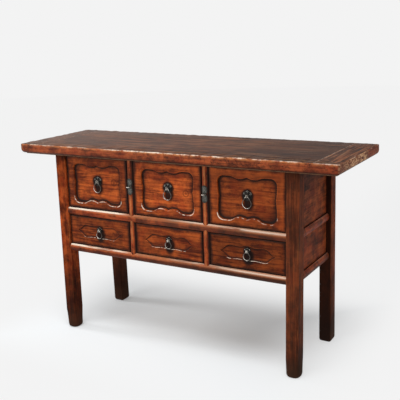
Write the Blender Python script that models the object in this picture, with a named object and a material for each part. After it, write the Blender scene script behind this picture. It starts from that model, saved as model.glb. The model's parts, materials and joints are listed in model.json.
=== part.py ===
"""Six-drawer side table with an overhanging panelled top, half-round rails and iron ring pulls.

Metres, +Z up. The origin is on the floor under the middle of the top, and the drawers face -Y.
Everything below the top is drawn upright and then spread to front and back towards the floor.
"""

from math import asin, cos, pi, sin, sqrt, tau

import bmesh
import bpy
from mathutils import Vector
from mathutils.geometry import interpolate_bezier

# Clearances
SEAT_GAP = 0.0003
PLATE_GAP = 0.0005
DRAWER_FACE_GAP = 0.002
DRAWER_SIDE_GAP = 0.003
DRAWER_BACK_GAP = 0.006

# Top
TABLE_HEIGHT = 0.860
TOP_LENGTH = 1.486
TOP_DEPTH = 0.470
TOP_THICKNESS = 0.045
END_OVERHANG = 0.165
FRONT_OVERHANG = 0.036
TOP_FRAME_WIDTH = 0.095
TOP_ARRIS = 0.003
EDGE_BAND = 0.024
EDGE_UNDERCUT = 0.016
EDGE_LIP = 0.003
LIP_STEP = 0.001
TOP_PANEL_THICKNESS = 0.018
TONGUE_THICKNESS = 0.008
TONGUE_DEPTH = 0.008
BATTEN_WIDTH = 0.045
BATTEN_HEIGHT = 0.022

# Legs
LEG_WIDTH = 0.052
LEG_DEPTH = 0.056
LEG_ROUND = 0.006
LEG_SPREAD = 0.013
FOOT_ROUND = 0.004
LEG_TENON_SIDE = 0.022
LEG_TENON_LENGTH = 0.022

# Rails and muntins
RAIL_HEIGHT = 0.033
RAIL_DEPTH = 0.030
RAIL_CROWN = 0.008
FRONT_RAIL_SETBACK = 0.002
OUTER_RAIL_SETBACK = 0.008
UPPER_OPENING = 0.237
LOWER_OPENING = 0.136
MUNTIN_WIDTH = 0.031
MUNTIN_SETBACK = 0.004
TENON_THICKNESS = 0.010
TENON_LENGTH = 0.018
TENON_SHOULDER = 0.008
STUB_LENGTH = 0.008

# End and back panels
PANEL_SETBACK = 0.022
PANEL_THICKNESS = 0.010
GROOVE_DEPTH = 0.006

# Drawer runners
RUNNER_THICKNESS = 0.015
RUNNER_REACH = 0.028
RUNNER_STUB = 0.005
GUIDE_HEIGHT = 0.025

# Drawers
DRAWER_SETBACK = 0.010
DRAWER_FRONT_THICKNESS = 0.024
DRAWER_WALL = 0.012
DRAWER_BOTTOM = 0.008
DRAWER_RIM_DROP = 0.025

# Cusped panel of the upper drawers
UPPER_RECESS = 0.010
UPPER_STILE = 0.035
HEAD_MARGIN = 0.032
FOOT_MARGIN = 0.022
HUMP_SPREAD = 0.031
HUMP_SHOULDER = 0.0207
HEAD_HUMP_RISE = 0.010
FOOT_HUMP_RISE = 0.016
CUSP_NOTCH = 0.008
CORNER_ROUND = 0.026
SIDE_CUSP = 0.005

# Pointed cartouche of the lower drawers
LOWER_RECESS = 0.004
CARTOUCHE_STILE = 0.040
CARTOUCHE_MARGIN = 0.037
CARTOUCHE_POINT = 0.050
CARTOUCHE_DIP = 0.003

# Iron pulls
UPPER_EYE_RISE = 0.008
LOWER_EYE_RISE = 0.009
PLATE_THICKNESS = 0.0016
UPPER_PLATE_RADIUS = 0.023
LOWER_PLATE_RADIUS = 0.0125
PLATE_LOBE = 0.0012
PLATE_LOBES = 6
BOSS_RADIUS = 0.007
BOSS_HEIGHT = 0.0024
EYE_WIRE = 0.0016
EYE_HOLE = 0.0028
RING_WIRE = 0.0020
RING_TOP_RADIUS = 0.005
UPPER_RING_WIDTH = 0.042
UPPER_RING_HEIGHT = 0.052
LOWER_RING_WIDTH = 0.033
LOWER_RING_HEIGHT = 0.039

# Iron lock plates and staples
LOCK_WIDTH = 0.027
LOCK_HEIGHT = 0.070
LOCK_WAIST = 0.30
LOCK_BLUNT = 0.20
LOCK_THICKNESS = 0.0018
LOCK_RISE = 0.0025
STAPLE_SPAN = 0.013
STAPLE_REACH = 0.017
STAPLE_WIRE = 0.0018
STAPLE_ROOT = 0.010

# Facets on round stretches
ARC_STEPS = 8
CORNER_STEPS = 4
CURVE_STEPS = 5
WIRE_SIDES = 8
RING_STEPS = 16

# Places worked out from the sizes
UNDERSIDE = TABLE_HEIGHT - TOP_THICKNESS
HALF_LENGTH = TOP_LENGTH / 2 - END_OVERHANG
HALF_DEPTH = TOP_DEPTH / 2 - FRONT_OVERHANG
MID_RAIL_HEIGHT = UNDERSIDE - UPPER_OPENING - RAIL_HEIGHT
BOTTOM_RAIL_HEIGHT = MID_RAIL_HEIGHT - LOWER_OPENING - RAIL_HEIGHT
LOCK_CENTRE = UNDERSIDE - UPPER_OPENING / 2 + LOCK_RISE
LEG_INNER_X = HALF_LENGTH - LEG_WIDTH
LEG_INNER_Y = HALF_DEPTH - LEG_DEPTH
BAY_WIDTH = (2 * LEG_INNER_X - 2 * MUNTIN_WIDTH) / 3
MUNTIN_X = BAY_WIDTH / 2 + MUNTIN_WIDTH / 2
FRONT_RAIL_FACE = -HALF_DEPTH + FRONT_RAIL_SETBACK
BACK_RAIL_FACE = HALF_DEPTH - OUTER_RAIL_SETBACK
FRONT_RAIL_BACK = FRONT_RAIL_FACE + RAIL_DEPTH
BACK_RAIL_FRONT = BACK_RAIL_FACE - RAIL_DEPTH
MUNTIN_FACE = -HALF_DEPTH + MUNTIN_SETBACK
SIDE_RAIL_FACE = HALF_LENGTH - OUTER_RAIL_SETBACK
DRAWER_FACE = -HALF_DEPTH + DRAWER_SETBACK
TOP_PANEL_UNDERSIDE = TABLE_HEIGHT - TOP_PANEL_THICKNESS
FRAME_INNER_Y = TOP_DEPTH / 2 - TOP_FRAME_WIDTH

RAIL_LEVELS = {"mid": MID_RAIL_HEIGHT, "bottom": BOTTOM_RAIL_HEIGHT}
OPENINGS = {
    "upper": (MID_RAIL_HEIGHT + RAIL_HEIGHT, UNDERSIDE),
    "lower": (BOTTOM_RAIL_HEIGHT + RAIL_HEIGHT, MID_RAIL_HEIGHT),
}
RAIL_UNDER = {"upper": "mid", "lower": "bottom"}
SIDES = {"left": -1, "right": 1}
ENDS = {"front": -1, "back": 1}
BAYS = {"left": -1, "centre": 0, "right": 1}


def along_x(u, v, w):
    return Vector((w, u, v))


def along_y(u, v, w):
    return Vector((u, w, v))


def along_z(u, v, w):
    return Vector((u, v, w))


def finish(name, colour, roughness, metallic=0.0):
    """A plain Principled material."""
    material = bpy.data.materials.new(name)
    material.use_nodes = True
    shader = material.node_tree.nodes["Principled BSDF"]
    shader.inputs["Base Color"].default_value = (*colour, 1.0)
    shader.inputs["Roughness"].default_value = roughness
    shader.inputs["Metallic"].default_value = metallic
    return material


def loft(name, rings, closed=False):
    """One body through rings of equal count: capped at its ends, or closed onto its first ring."""
    form = bmesh.new()
    loops = [[form.verts.new(point) for point in ring] for ring in rings]
    following = loops[1:] + loops[:1] if closed else loops[1:]
    for ring, after in zip(loops, following):
        for index, vertex in enumerate(ring):
            beside = (index + 1) % len(ring)
            form.faces.new((vertex, ring[beside], after[beside], after[index]))
    if not closed:
        form.faces.new(loops[0])
        form.faces.new(loops[-1])
    bmesh.ops.recalc_face_normals(form, faces=form.faces)
    mesh = bpy.data.meshes.new(name)
    form.to_mesh(mesh)
    form.free()
    piece = bpy.data.objects.new(name, mesh)
    bpy.context.collection.objects.link(piece)
    return piece


def prism(name, outline, place, start, end):
    """A flat outline drawn out along one axis."""
    return loft(name, [[place(u, v, w) for u, v in outline] for w in (start, end)])


def block(name, low, high):
    """A rectangular block between two corners."""
    outline = [(low[0], low[1]), (high[0], low[1]), (high[0], high[1]), (low[0], high[1])]
    return prism(name, outline, along_z, low[2], high[2])


def grown(low, high):
    """The corners of a block that leaves the seating gap all round."""
    gap = Vector((SEAT_GAP, SEAT_GAP, SEAT_GAP))
    return Vector(low) - gap, Vector(high) + gap


def shape_with(piece, tool, operation):
    """Let a hidden tool solid cut the piece or be joined to it."""
    tool.hide_render = True
    tool.display_type = "WIRE"
    modifier = piece.modifiers.new(operation.title(), "BOOLEAN")
    modifier.operation = operation
    modifier.object = tool
    modifier.solver = "EXACT"


def cut(piece, tool):
    shape_with(piece, tool, "DIFFERENCE")


def join(piece, tool):
    shape_with(piece, tool, "UNION")


def tenon(piece, holder, low, high):
    """A tenon on the piece and its mortise, with the seating gap, in the holder."""
    join(piece, block("tenon", low, high))
    cut(holder, block("mortise", *grown(low, high)))


def let_in(low, high, holders):
    """Grooves for the edges of a board between two corners."""
    for holder in holders:
        cut(holder, block("groove", *grown(low, high)))


def rounded_rectangle(width, depth, radius):
    """Outline of a rectangle about the origin with round corners."""
    outline = []
    corners = [(1, 1, 0.0), (-1, 1, pi / 2), (-1, -1, pi), (1, -1, 3 * pi / 2)]
    for side_x, side_y, turn in corners:
        for step in range(CORNER_STEPS + 1):
            angle = turn + step / CORNER_STEPS * pi / 2
            x = side_x * (width / 2 - radius) + radius * cos(angle)
            y = side_y * (depth / 2 - radius) + radius * sin(angle)
            outline.append((x, y))
    return outline


def crown_radius(width):
    return (width ** 2 / 4 + RAIL_CROWN ** 2) / (2 * RAIL_CROWN)


def half_round(width, grow=0.0):
    """Section of a rail or muntin: (depth behind the crown, place across), crowned on the outside."""
    radius = crown_radius(width)
    reach = asin(width / 2 / radius)
    section = []
    for step in range(ARC_STEPS + 1):
        angle = reach * (2 * step / ARC_STEPS - 1)
        depth = radius - (radius + grow) * cos(angle)
        section.append((depth, (radius + grow) * sin(angle)))
    edge = section[-1][1]
    section.append((RAIL_DEPTH + grow, edge))
    section.append((RAIL_DEPTH + grow, -edge))
    return section


def bezier(start, first, second, end):
    """Points of one curve, without its last."""
    knots = [Vector((x, z, 0.0)) for x, z in (start, first, second, end)]
    points = interpolate_bezier(*knots, CURVE_STEPS + 1)
    return [(point.x, point.y) for point in points[:-1]]


def two_way(head, foot):
    """Closed outline from its upper and lower right-hand quarters, each drawn upwards from the middle to the end."""
    right = head + [(x, -z) for x, z in reversed(foot[:-1])]
    return right + [(-x, z) for x, z in reversed(right[1:-1])]


def tube(name, path, radius, closed):
    """A round wire along (point, normal, binormal) stations."""
    rings = []
    for point, normal, binormal in path:
        ring = []
        for side in range(WIRE_SIDES):
            angle = tau * side / WIRE_SIDES
            ring.append(point + radius * (cos(angle) * normal + sin(angle) * binormal))
        rings.append(ring)
    return loft(name, rings, closed)


def make_top():
    """The mitred frame, the tongued panel and the batten under it."""
    lip_rise = TOP_THICKNESS - EDGE_LIP
    inset = EDGE_UNDERCUT - LIP_STEP
    section = [(TOP_ARRIS, 0.0), (TOP_ARRIS * 0.3, -TOP_ARRIS * 0.3), (0.0, -TOP_ARRIS)]
    for step in range(ARC_STEPS // 2 + 1):
        angle = step / (ARC_STEPS // 2) * pi / 2
        section.append((inset * (1 - cos(angle)), -EDGE_BAND - (lip_rise - EDGE_BAND) * sin(angle)))
    tongue_high = (TOP_PANEL_THICKNESS - TONGUE_THICKNESS) / 2 - SEAT_GAP
    tongue_low = tongue_high + TONGUE_THICKNESS + 2 * SEAT_GAP
    groove_floor = TOP_FRAME_WIDTH - TONGUE_DEPTH - SEAT_GAP
    section += [
        (EDGE_UNDERCUT, -lip_rise),
        (EDGE_UNDERCUT, -TOP_THICKNESS),
        (TOP_FRAME_WIDTH, -TOP_THICKNESS),
        (TOP_FRAME_WIDTH, -tongue_low),
        (groove_floor, -tongue_low),
        (groove_floor, -tongue_high),
        (TOP_FRAME_WIDTH, -tongue_high),
        (TOP_FRAME_WIDTH, 0.0),
    ]
    places = {
        "front": (TOP_LENGTH, (0.0, -TOP_DEPTH / 2), 0.0),
        "right": (TOP_DEPTH, (TOP_LENGTH / 2, 0.0), pi / 2),
        "back": (TOP_LENGTH, (0.0, TOP_DEPTH / 2), pi),
        "left": (TOP_DEPTH, (-TOP_LENGTH / 2, 0.0), -pi / 2),
    }
    frame = {}
    for name, (length, centre, turn) in places.items():
        ends = []
        for end in (-1, 1):
            reach = length / 2 - SEAT_GAP
            ends.append([(end * (reach - inward), inward, drop) for inward, drop in section])
        member = loft("top_frame_" + name, ends)
        member.location = (*centre, TABLE_HEIGHT)
        member.rotation_euler.z = turn
        frame[name] = member

    half = Vector((TOP_LENGTH / 2, TOP_DEPTH / 2)) - Vector((1, 1)) * (TOP_FRAME_WIDTH + SEAT_GAP)
    rings = []
    shoulder = (TOP_PANEL_THICKNESS - TONGUE_THICKNESS) / 2
    for drop, spread in (
        (TOP_PANEL_THICKNESS, 0.0),
        (TOP_PANEL_THICKNESS - shoulder, 0.0),
        (TOP_PANEL_THICKNESS - shoulder, TONGUE_DEPTH),
        (shoulder, TONGUE_DEPTH),
        (shoulder, 0.0),
        (0.0, 0.0),
    ):
        x = half.x + spread
        y = half.y + spread
        rings.append([(-x, -y, -drop), (x, -y, -drop), (x, y, -drop), (-x, y, -drop)])
    panel = loft("top_panel", rings)
    panel.location.z = TABLE_HEIGHT

    batten_top = TOP_PANEL_UNDERSIDE - SEAT_GAP
    batten_end = FRAME_INNER_Y - SEAT_GAP
    batten = block(
        "top_batten",
        (-BATTEN_WIDTH / 2, -batten_end, batten_top - BATTEN_HEIGHT),
        (BATTEN_WIDTH / 2, batten_end, batten_top),
    )
    for end, side in ENDS.items():
        faces = sorted((side * (batten_end - STUB_LENGTH), side * (batten_end + STUB_LENGTH)))
        low = (-BATTEN_WIDTH / 4, faces[0], batten_top - BATTEN_HEIGHT * 0.75)
        high = (BATTEN_WIDTH / 4, faces[1], batten_top - BATTEN_HEIGHT * 0.25)
        tenon(batten, frame[end], low, high)
    return frame


def leg_ring(height, grow):
    """One round-cornered ring of a leg, larger by grow on every side."""
    width = LEG_WIDTH + 2 * grow
    depth = LEG_DEPTH + 2 * grow
    outline = rounded_rectangle(width, depth, max(LEG_ROUND + grow, SEAT_GAP))
    return [Vector((x, y, height)) for x, y in outline]


def leg_place(side, end):
    return Vector((side * (HALF_LENGTH - LEG_WIDTH / 2), end * (HALF_DEPTH - LEG_DEPTH / 2), 0.0))


def leg_tool(side, end):
    """The leg with its seating gap, for scribing the shoulders of the rails."""
    tool = loft("scribe", [leg_ring(height, SEAT_GAP) for height in (0.0, UNDERSIDE)])
    tool.location = leg_place(side, end)
    return tool


def make_legs(frame):
    legs = {}
    head = UNDERSIDE - SEAT_GAP
    tenon_ring = rounded_rectangle(LEG_TENON_SIDE, LEG_TENON_SIDE, LEG_TENON_SIDE / CURVE_STEPS)
    for end_name, end in ENDS.items():
        for side_name, side in SIDES.items():
            rings = [
                leg_ring(0.0, -FOOT_ROUND),
                leg_ring(FOOT_ROUND / 3, -FOOT_ROUND / 3),
                leg_ring(FOOT_ROUND, 0.0),
                leg_ring(head, 0.0),
            ]
            for height in (head, head + LEG_TENON_LENGTH):
                rings.append([Vector((x, y, height)) for x, y in tenon_ring])
            leg = loft("leg_%s_%s" % (end_name, side_name), rings)
            leg.location = leg_place(side, end)
            half = Vector((LEG_TENON_SIDE / 2, LEG_TENON_SIDE / 2, 0.0))
            low = leg.location - half + Vector((0.0, 0.0, head))
            high = leg.location + half + Vector((0.0, 0.0, head + LEG_TENON_LENGTH))
            cut(frame[end_name], block("mortise", *grown(low, high)))
            legs[end_name, side_name] = leg
    return legs


def tenon_heights(level):
    base = RAIL_LEVELS[level] + TENON_SHOULDER
    return base, base + RAIL_HEIGHT - 2 * TENON_SHOULDER


def make_long_rails(legs):
    """Front and back rails, scribed to the round legs and tenoned into them."""
    rails = {}
    reach = LEG_INNER_X + LEG_ROUND
    for end_name, end in ENDS.items():
        face = FRONT_RAIL_FACE if end < 0 else BACK_RAIL_FACE
        middle = face - end * RAIL_DEPTH / 2
        for level, height in RAIL_LEVELS.items():
            centre = height + RAIL_HEIGHT / 2
            section = [(face - end * depth, centre + v) for depth, v in half_round(RAIL_HEIGHT)]
            rail = prism("rail_%s_%s" % (end_name, level), section, along_x, -reach, reach)
            bottom, top = tenon_heights(level)
            for side_name, side in SIDES.items():
                cut(rail, leg_tool(side, end))
            for side_name, side in SIDES.items():
                inner = LEG_INNER_X - TENON_SHOULDER
                ends = sorted((side * inner, side * (LEG_INNER_X + TENON_LENGTH)))
                low = (ends[0], middle - TENON_THICKNESS / 2, bottom)
                high = (ends[1], middle + TENON_THICKNESS / 2, top)
                tenon(rail, legs[end_name, side_name], low, high)
            rails[end_name, level] = rail
    return rails


def make_end_rails(legs):
    """Left and right rails, each with the ledge that carries the outer drawers."""
    rails = {}
    reach = LEG_INNER_Y + LEG_ROUND
    ledge = SIDE_RAIL_FACE - LEG_INNER_X + RUNNER_REACH
    for side_name, side in SIDES.items():
        middle = side * (SIDE_RAIL_FACE - RAIL_DEPTH / 2)
        for level, height in RAIL_LEVELS.items():
            section = half_round(RAIL_HEIGHT)[: ARC_STEPS + 1]
            top = RAIL_HEIGHT / 2
            section += [
                (ledge, top),
                (ledge, top - RUNNER_THICKNESS),
                (RAIL_DEPTH, top - RUNNER_THICKNESS),
                (RAIL_DEPTH, -top),
            ]
            centre = height + RAIL_HEIGHT / 2
            outline = [(side * (SIDE_RAIL_FACE - depth), centre + v) for depth, v in section]
            rail = prism("rail_%s_%s" % (side_name, level), outline, along_y, -reach, reach)
            low_z, high_z = tenon_heights(level)
            for end in ENDS.values():
                cut(rail, leg_tool(side, end))
            for end_name, end in ENDS.items():
                inner = LEG_INNER_Y - TENON_SHOULDER
                ends = sorted((end * inner, end * (LEG_INNER_Y + TENON_LENGTH)))
                low = (middle - TENON_THICKNESS / 2, ends[0], low_z)
                high = (middle + TENON_THICKNESS / 2, ends[1], high_z)
                tenon(rail, legs[end_name, side_name], low, high)
            rails[side_name, level] = rail
    return rails


def panel_heights(row):
    """Bottom and top of a panel, let into the rail below it and the one above it, if any."""
    low, high = OPENINGS[row]
    top = high - SEAT_GAP if row == "upper" else high + GROOVE_DEPTH
    return low - GROOVE_DEPTH, top


def rails_round(rails, where, row):
    """The rails that an end or back panel of this row is let into."""
    levels = ["mid"] if row == "upper" else ["bottom", "mid"]
    return [rails[where, level] for level in levels]


def make_panels(legs, long_rails, end_rails):
    """End panels that rise to the underside of the top panel, and back panels."""
    panels = []
    reach = LEG_INNER_Y + GROOVE_DEPTH
    for side_name, side in SIDES.items():
        faces = sorted(side * (HALF_LENGTH - PANEL_SETBACK - step) for step in (0.0, PANEL_THICKNESS))
        for row in OPENINGS:
            bottom, top = panel_heights(row)
            outline = [(-reach, bottom), (reach, bottom), (reach, top)]
            if row == "upper":
                inside = FRAME_INNER_Y - SEAT_GAP
                crest = TOP_PANEL_UNDERSIDE - SEAT_GAP
                outline += [(inside, top), (inside, crest), (-inside, crest), (-inside, top)]
            outline.append((-reach, top))
            name = "panel_%s_%s" % (side_name, row)
            panels.append(prism(name, outline, along_x, faces[0], faces[1]))
            holders = [legs[end, side_name] for end in ENDS] + rails_round(end_rails, side_name, row)
            let_in((faces[0], -reach, bottom), (faces[1], reach, top), holders)
    face = HALF_DEPTH - PANEL_SETBACK
    reach = LEG_INNER_X + GROOVE_DEPTH
    for row in OPENINGS:
        bottom, top = panel_heights(row)
        low = (-reach, face - PANEL_THICKNESS, bottom)
        high = (reach, face, top)
        panels.append(block("panel_back_" + row, low, high))
        holders = [legs["back", side] for side in SIDES] + rails_round(long_rails, "back", row)
        let_in(low, high, holders)
    return panels


def rail_tool(level):
    """A front rail with its seating gap, for scribing the ends of the muntins."""
    centre = RAIL_LEVELS[level] + RAIL_HEIGHT / 2
    section = half_round(RAIL_HEIGHT, SEAT_GAP)
    outline = [(FRONT_RAIL_FACE + depth, centre + v) for depth, v in section]
    return prism("scribe", outline, along_x, -LEG_INNER_X, LEG_INNER_X)


def make_muntins(rails, frame):
    """Half-round uprights between the drawers, scribed over the rails."""
    muntins = {}
    lap = RAIL_HEIGHT / 2
    back = FRONT_RAIL_BACK - MUNTIN_FACE
    for row, (low, high) in OPENINGS.items():
        head = UNDERSIDE - SEAT_GAP if row == "upper" else high + lap
        holder_above = frame["front"] if row == "upper" else rails["front", "mid"]
        for side_name, side in SIDES.items():
            x = side * MUNTIN_X
            section = [(x + v, MUNTIN_FACE + min(depth, back)) for depth, v in half_round(MUNTIN_WIDTH)]
            muntin = prism("muntin_%s_%s" % (row, side_name), section, along_z, low - lap, head)
            cut(muntin, rail_tool(RAIL_UNDER[row]))
            if row == "lower":
                cut(muntin, rail_tool("mid"))
            middle = MUNTIN_FACE + RAIL_DEPTH / 2
            stub = TENON_THICKNESS / 2
            for holder, edge in ((rails["front", RAIL_UNDER[row]], low), (holder_above, high)):
                corner = (x - stub, middle - stub, edge - STUB_LENGTH)
                tenon(muntin, holder, corner, (x + stub, middle + stub, edge + STUB_LENGTH))
            muntins[row, side_name] = muntin
    return muntins


def make_runners(rails):
    """Runners behind the muntins, with a guide rib that keeps neighbouring drawers apart."""
    runners = []
    start = FRONT_RAIL_BACK + SEAT_GAP
    end = BACK_RAIL_FRONT - SEAT_GAP
    wide = MUNTIN_WIDTH / 2 + RUNNER_REACH
    rib = MUNTIN_WIDTH / 2
    for row, (floor, _) in OPENINGS.items():
        level = RAIL_UNDER[row]
        base = floor - RUNNER_THICKNESS
        for side_name, side in SIDES.items():
            x = side * MUNTIN_X
            outline = [
                (x - wide, base),
                (x + wide, base),
                (x + wide, floor),
                (x + rib, floor),
                (x + rib, floor + GUIDE_HEIGHT),
                (x - rib, floor + GUIDE_HEIGHT),
                (x - rib, floor),
                (x - wide, floor),
            ]
            runner = prism("runner_%s_%s" % (row, side_name), outline, along_y, start, end)
            for holder, edge in (("front", start), ("back", end)):
                low = (x - rib, edge - RUNNER_STUB, base + RUNNER_THICKNESS / 4)
                high = (x + rib, edge + RUNNER_STUB, floor - RUNNER_THICKNESS / 4)
                tenon(runner, rails[holder, level], low, high)
            runners.append(runner)
    return runners


def make_locks(muntins):
    """Two-lobed iron plates bent round the upper muntins, each with a staple driven through it."""
    irons = []
    radius = crown_radius(MUNTIN_WIDTH)
    axis_y = MUNTIN_FACE + radius
    rows = 2 * ARC_STEPS
    columns = [-1.0, -0.6, -0.2, 0.2, 0.6, 1.0]
    for side_name, side in SIDES.items():
        x = side * MUNTIN_X
        rings = []
        for row in range(rows + 1):
            place = -cos(pi * row / rows)
            lobes = 1 - LOCK_WAIST * cos(place * pi / 2) ** 6
            width = LOCK_WIDTH / 2 * lobes * sqrt(1 + LOCK_BLUNT ** 2 - place ** 4)
            z = LOCK_CENTRE + place * LOCK_HEIGHT / 2
            outer = radius + PLATE_GAP + LOCK_THICKNESS
            inner = radius + PLATE_GAP
            front = [(x + s * width, axis_y - sqrt(outer ** 2 - (s * width) ** 2), z) for s in columns]
            back = [(x + s * width, axis_y - sqrt(inner ** 2 - (s * width) ** 2), z) for s in columns]
            rings.append([Vector(point) for point in front + back[::-1]])
        plate = loft("lock_plate_" + side_name, rings)

        def staple_path():
            half = STAPLE_SPAN / 2
            bend = MUNTIN_FACE - STAPLE_REACH + half
            root = MUNTIN_FACE + STAPLE_ROOT
            up = Vector((0.0, 0.0, 1.0))
            path = [(Vector((x - half, root, LOCK_CENTRE)), Vector((-1.0, 0.0, 0.0)), up)]
            for step in range(ARC_STEPS + 1):
                angle = pi + pi * step / ARC_STEPS
                normal = Vector((cos(angle), sin(angle), 0.0))
                path.append((Vector((x, bend, LOCK_CENTRE)) + half * normal, normal, up))
            path.append((Vector((x + half, root, LOCK_CENTRE)), Vector((1.0, 0.0, 0.0)), up))
            return path

        staple = tube("lock_staple_" + side_name, staple_path(), STAPLE_WIRE, False)
        for holder in (plate, muntins["upper", side_name]):
            cut(holder, tube("staple_hole", staple_path(), STAPLE_WIRE + SEAT_GAP, False))
        irons += [plate, staple]
    return irons


def cusped_quarter(half_x, half_z, rise):
    """One quarter of a sunk panel: half a cusp, a hump, a round corner and half a waved side."""
    hump = half_z - rise
    flare = half_x - CORNER_ROUND - HUMP_SHOULDER
    bend = (HUMP_SPREAD + flare) / 2
    quarter = bezier(
        (0.0, hump + CUSP_NOTCH), (HUMP_SPREAD * 0.3, hump + CUSP_NOTCH * 0.5),
        (HUMP_SPREAD * 0.6, hump), (HUMP_SPREAD, hump),
    )
    quarter += bezier(
        (HUMP_SPREAD, hump), (bend, hump), (bend, half_z), (flare, half_z),
    )
    quarter.append((flare, half_z))
    for step in range(CURVE_STEPS):
        angle = pi / 2 * (1 - step / CURVE_STEPS)
        x = half_x - CORNER_ROUND + CORNER_ROUND * cos(angle)
        quarter.append((x, half_z - CORNER_ROUND + CORNER_ROUND * sin(angle)))
    shoulder = half_z - CORNER_ROUND
    quarter += bezier(
        (half_x, shoulder), (half_x, shoulder * 0.6), (half_x - SIDE_CUSP * 0.4, shoulder * 0.25),
        (half_x - SIDE_CUSP, 0.0),
    )
    quarter.append((half_x - SIDE_CUSP, 0.0))
    return quarter


def cusped_outline(width, height):
    """Sunk panel of an upper drawer, with flatter humps above than below."""
    half_x = width / 2 - UPPER_STILE
    head = cusped_quarter(half_x, height / 2 - HEAD_MARGIN, HEAD_HUMP_RISE)
    foot = cusped_quarter(half_x, height / 2 - FOOT_MARGIN, FOOT_HUMP_RISE)
    return two_way(head, foot)


def pointed_outline(width, height):
    """Sunk cartouche of a lower drawer: long and low, with pointed ends like a lancet."""
    tip = width / 2 - CARTOUCHE_STILE
    half_z = height / 2 - CARTOUCHE_MARGIN
    shoulder = tip - CARTOUCHE_POINT
    dip = half_z - CARTOUCHE_DIP
    quarter = bezier((0.0, dip), (shoulder * 0.4, dip), (shoulder * 0.65, half_z), (shoulder, half_z))
    quarter += bezier(
        (shoulder, half_z), (shoulder + CARTOUCHE_POINT * 0.55, half_z),
        (shoulder + CARTOUCHE_POINT * 0.8, half_z * 0.7), (tip, 0.0),
    )
    quarter.append((tip, 0.0))
    return two_way(quarter, quarter)


def ring_path(width, height):
    """Stations round a hanging drop-shaped ring, from the top of its centre line."""
    large = width / 2 - RING_WIRE
    small = RING_TOP_RADIUS
    centres = height - 2 * RING_WIRE - small - large
    slope = asin((large - small) / centres)
    stops = []
    for step in range(CURVE_STEPS):
        stops.append((small, -small, pi / 2 + (slope - pi / 2) * step / (CURVE_STEPS - 1)))
    for step in range(RING_STEPS + 1):
        stops.append((large, -small - centres, slope - (pi + 2 * slope) * step / RING_STEPS))
    for step in range(CURVE_STEPS - 1):
        stops.append((small, -small, pi - slope + (slope - pi / 2) * step / (CURVE_STEPS - 1)))
    path = []
    for radius, centre, angle in stops:
        normal = Vector((cos(angle), 0.0, sin(angle)))
        path.append((Vector((0.0, 0.0, centre)) + radius * normal, normal, Vector((0.0, 1.0, 0.0))))
    return path


def make_pull_plate(name, radius):
    """A lobed iron rose with a boss and the eye that the ring hangs in, its back at y = 0."""
    count = 4 * PLATE_LOBES

    def rose_ring(size, lobe, depth):
        ring = []
        for step in range(count):
            angle = tau * step / count
            reach = size + lobe * cos(PLATE_LOBES * angle)
            ring.append((reach * sin(angle), -depth, reach * cos(angle)))
        return ring

    boss_top = PLATE_THICKNESS + BOSS_HEIGHT
    plate = loft(name, [
        rose_ring(radius, PLATE_LOBE, 0.0),
        rose_ring(radius, PLATE_LOBE, PLATE_THICKNESS * 0.6),
        rose_ring(radius - PLATE_THICKNESS * 0.4, PLATE_LOBE, PLATE_THICKNESS),
        rose_ring(BOSS_RADIUS, 0.0, PLATE_THICKNESS),
        rose_ring(BOSS_RADIUS * 0.8, 0.0, PLATE_THICKNESS + BOSS_HEIGHT * 0.7),
        rose_ring(BOSS_RADIUS * 0.4, 0.0, boss_top),
    ])
    eye_radius = EYE_HOLE + EYE_WIRE
    path = []
    for step in range(RING_STEPS):
        angle = tau * (step + 0.5) / RING_STEPS
        normal = Vector((0.0, cos(angle), sin(angle)))
        centre = Vector((0.0, -eye_depth(), 0.0))
        path.append((centre + eye_radius * normal, normal, Vector((1.0, 0.0, 0.0))))
    join(plate, tube("eye", path, EYE_WIRE, True))
    return plate


def eye_depth():
    """How far the middle of the eye stands in front of the back of its plate."""
    return PLATE_THICKNESS + EYE_HOLE + 2 * EYE_WIRE


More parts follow.
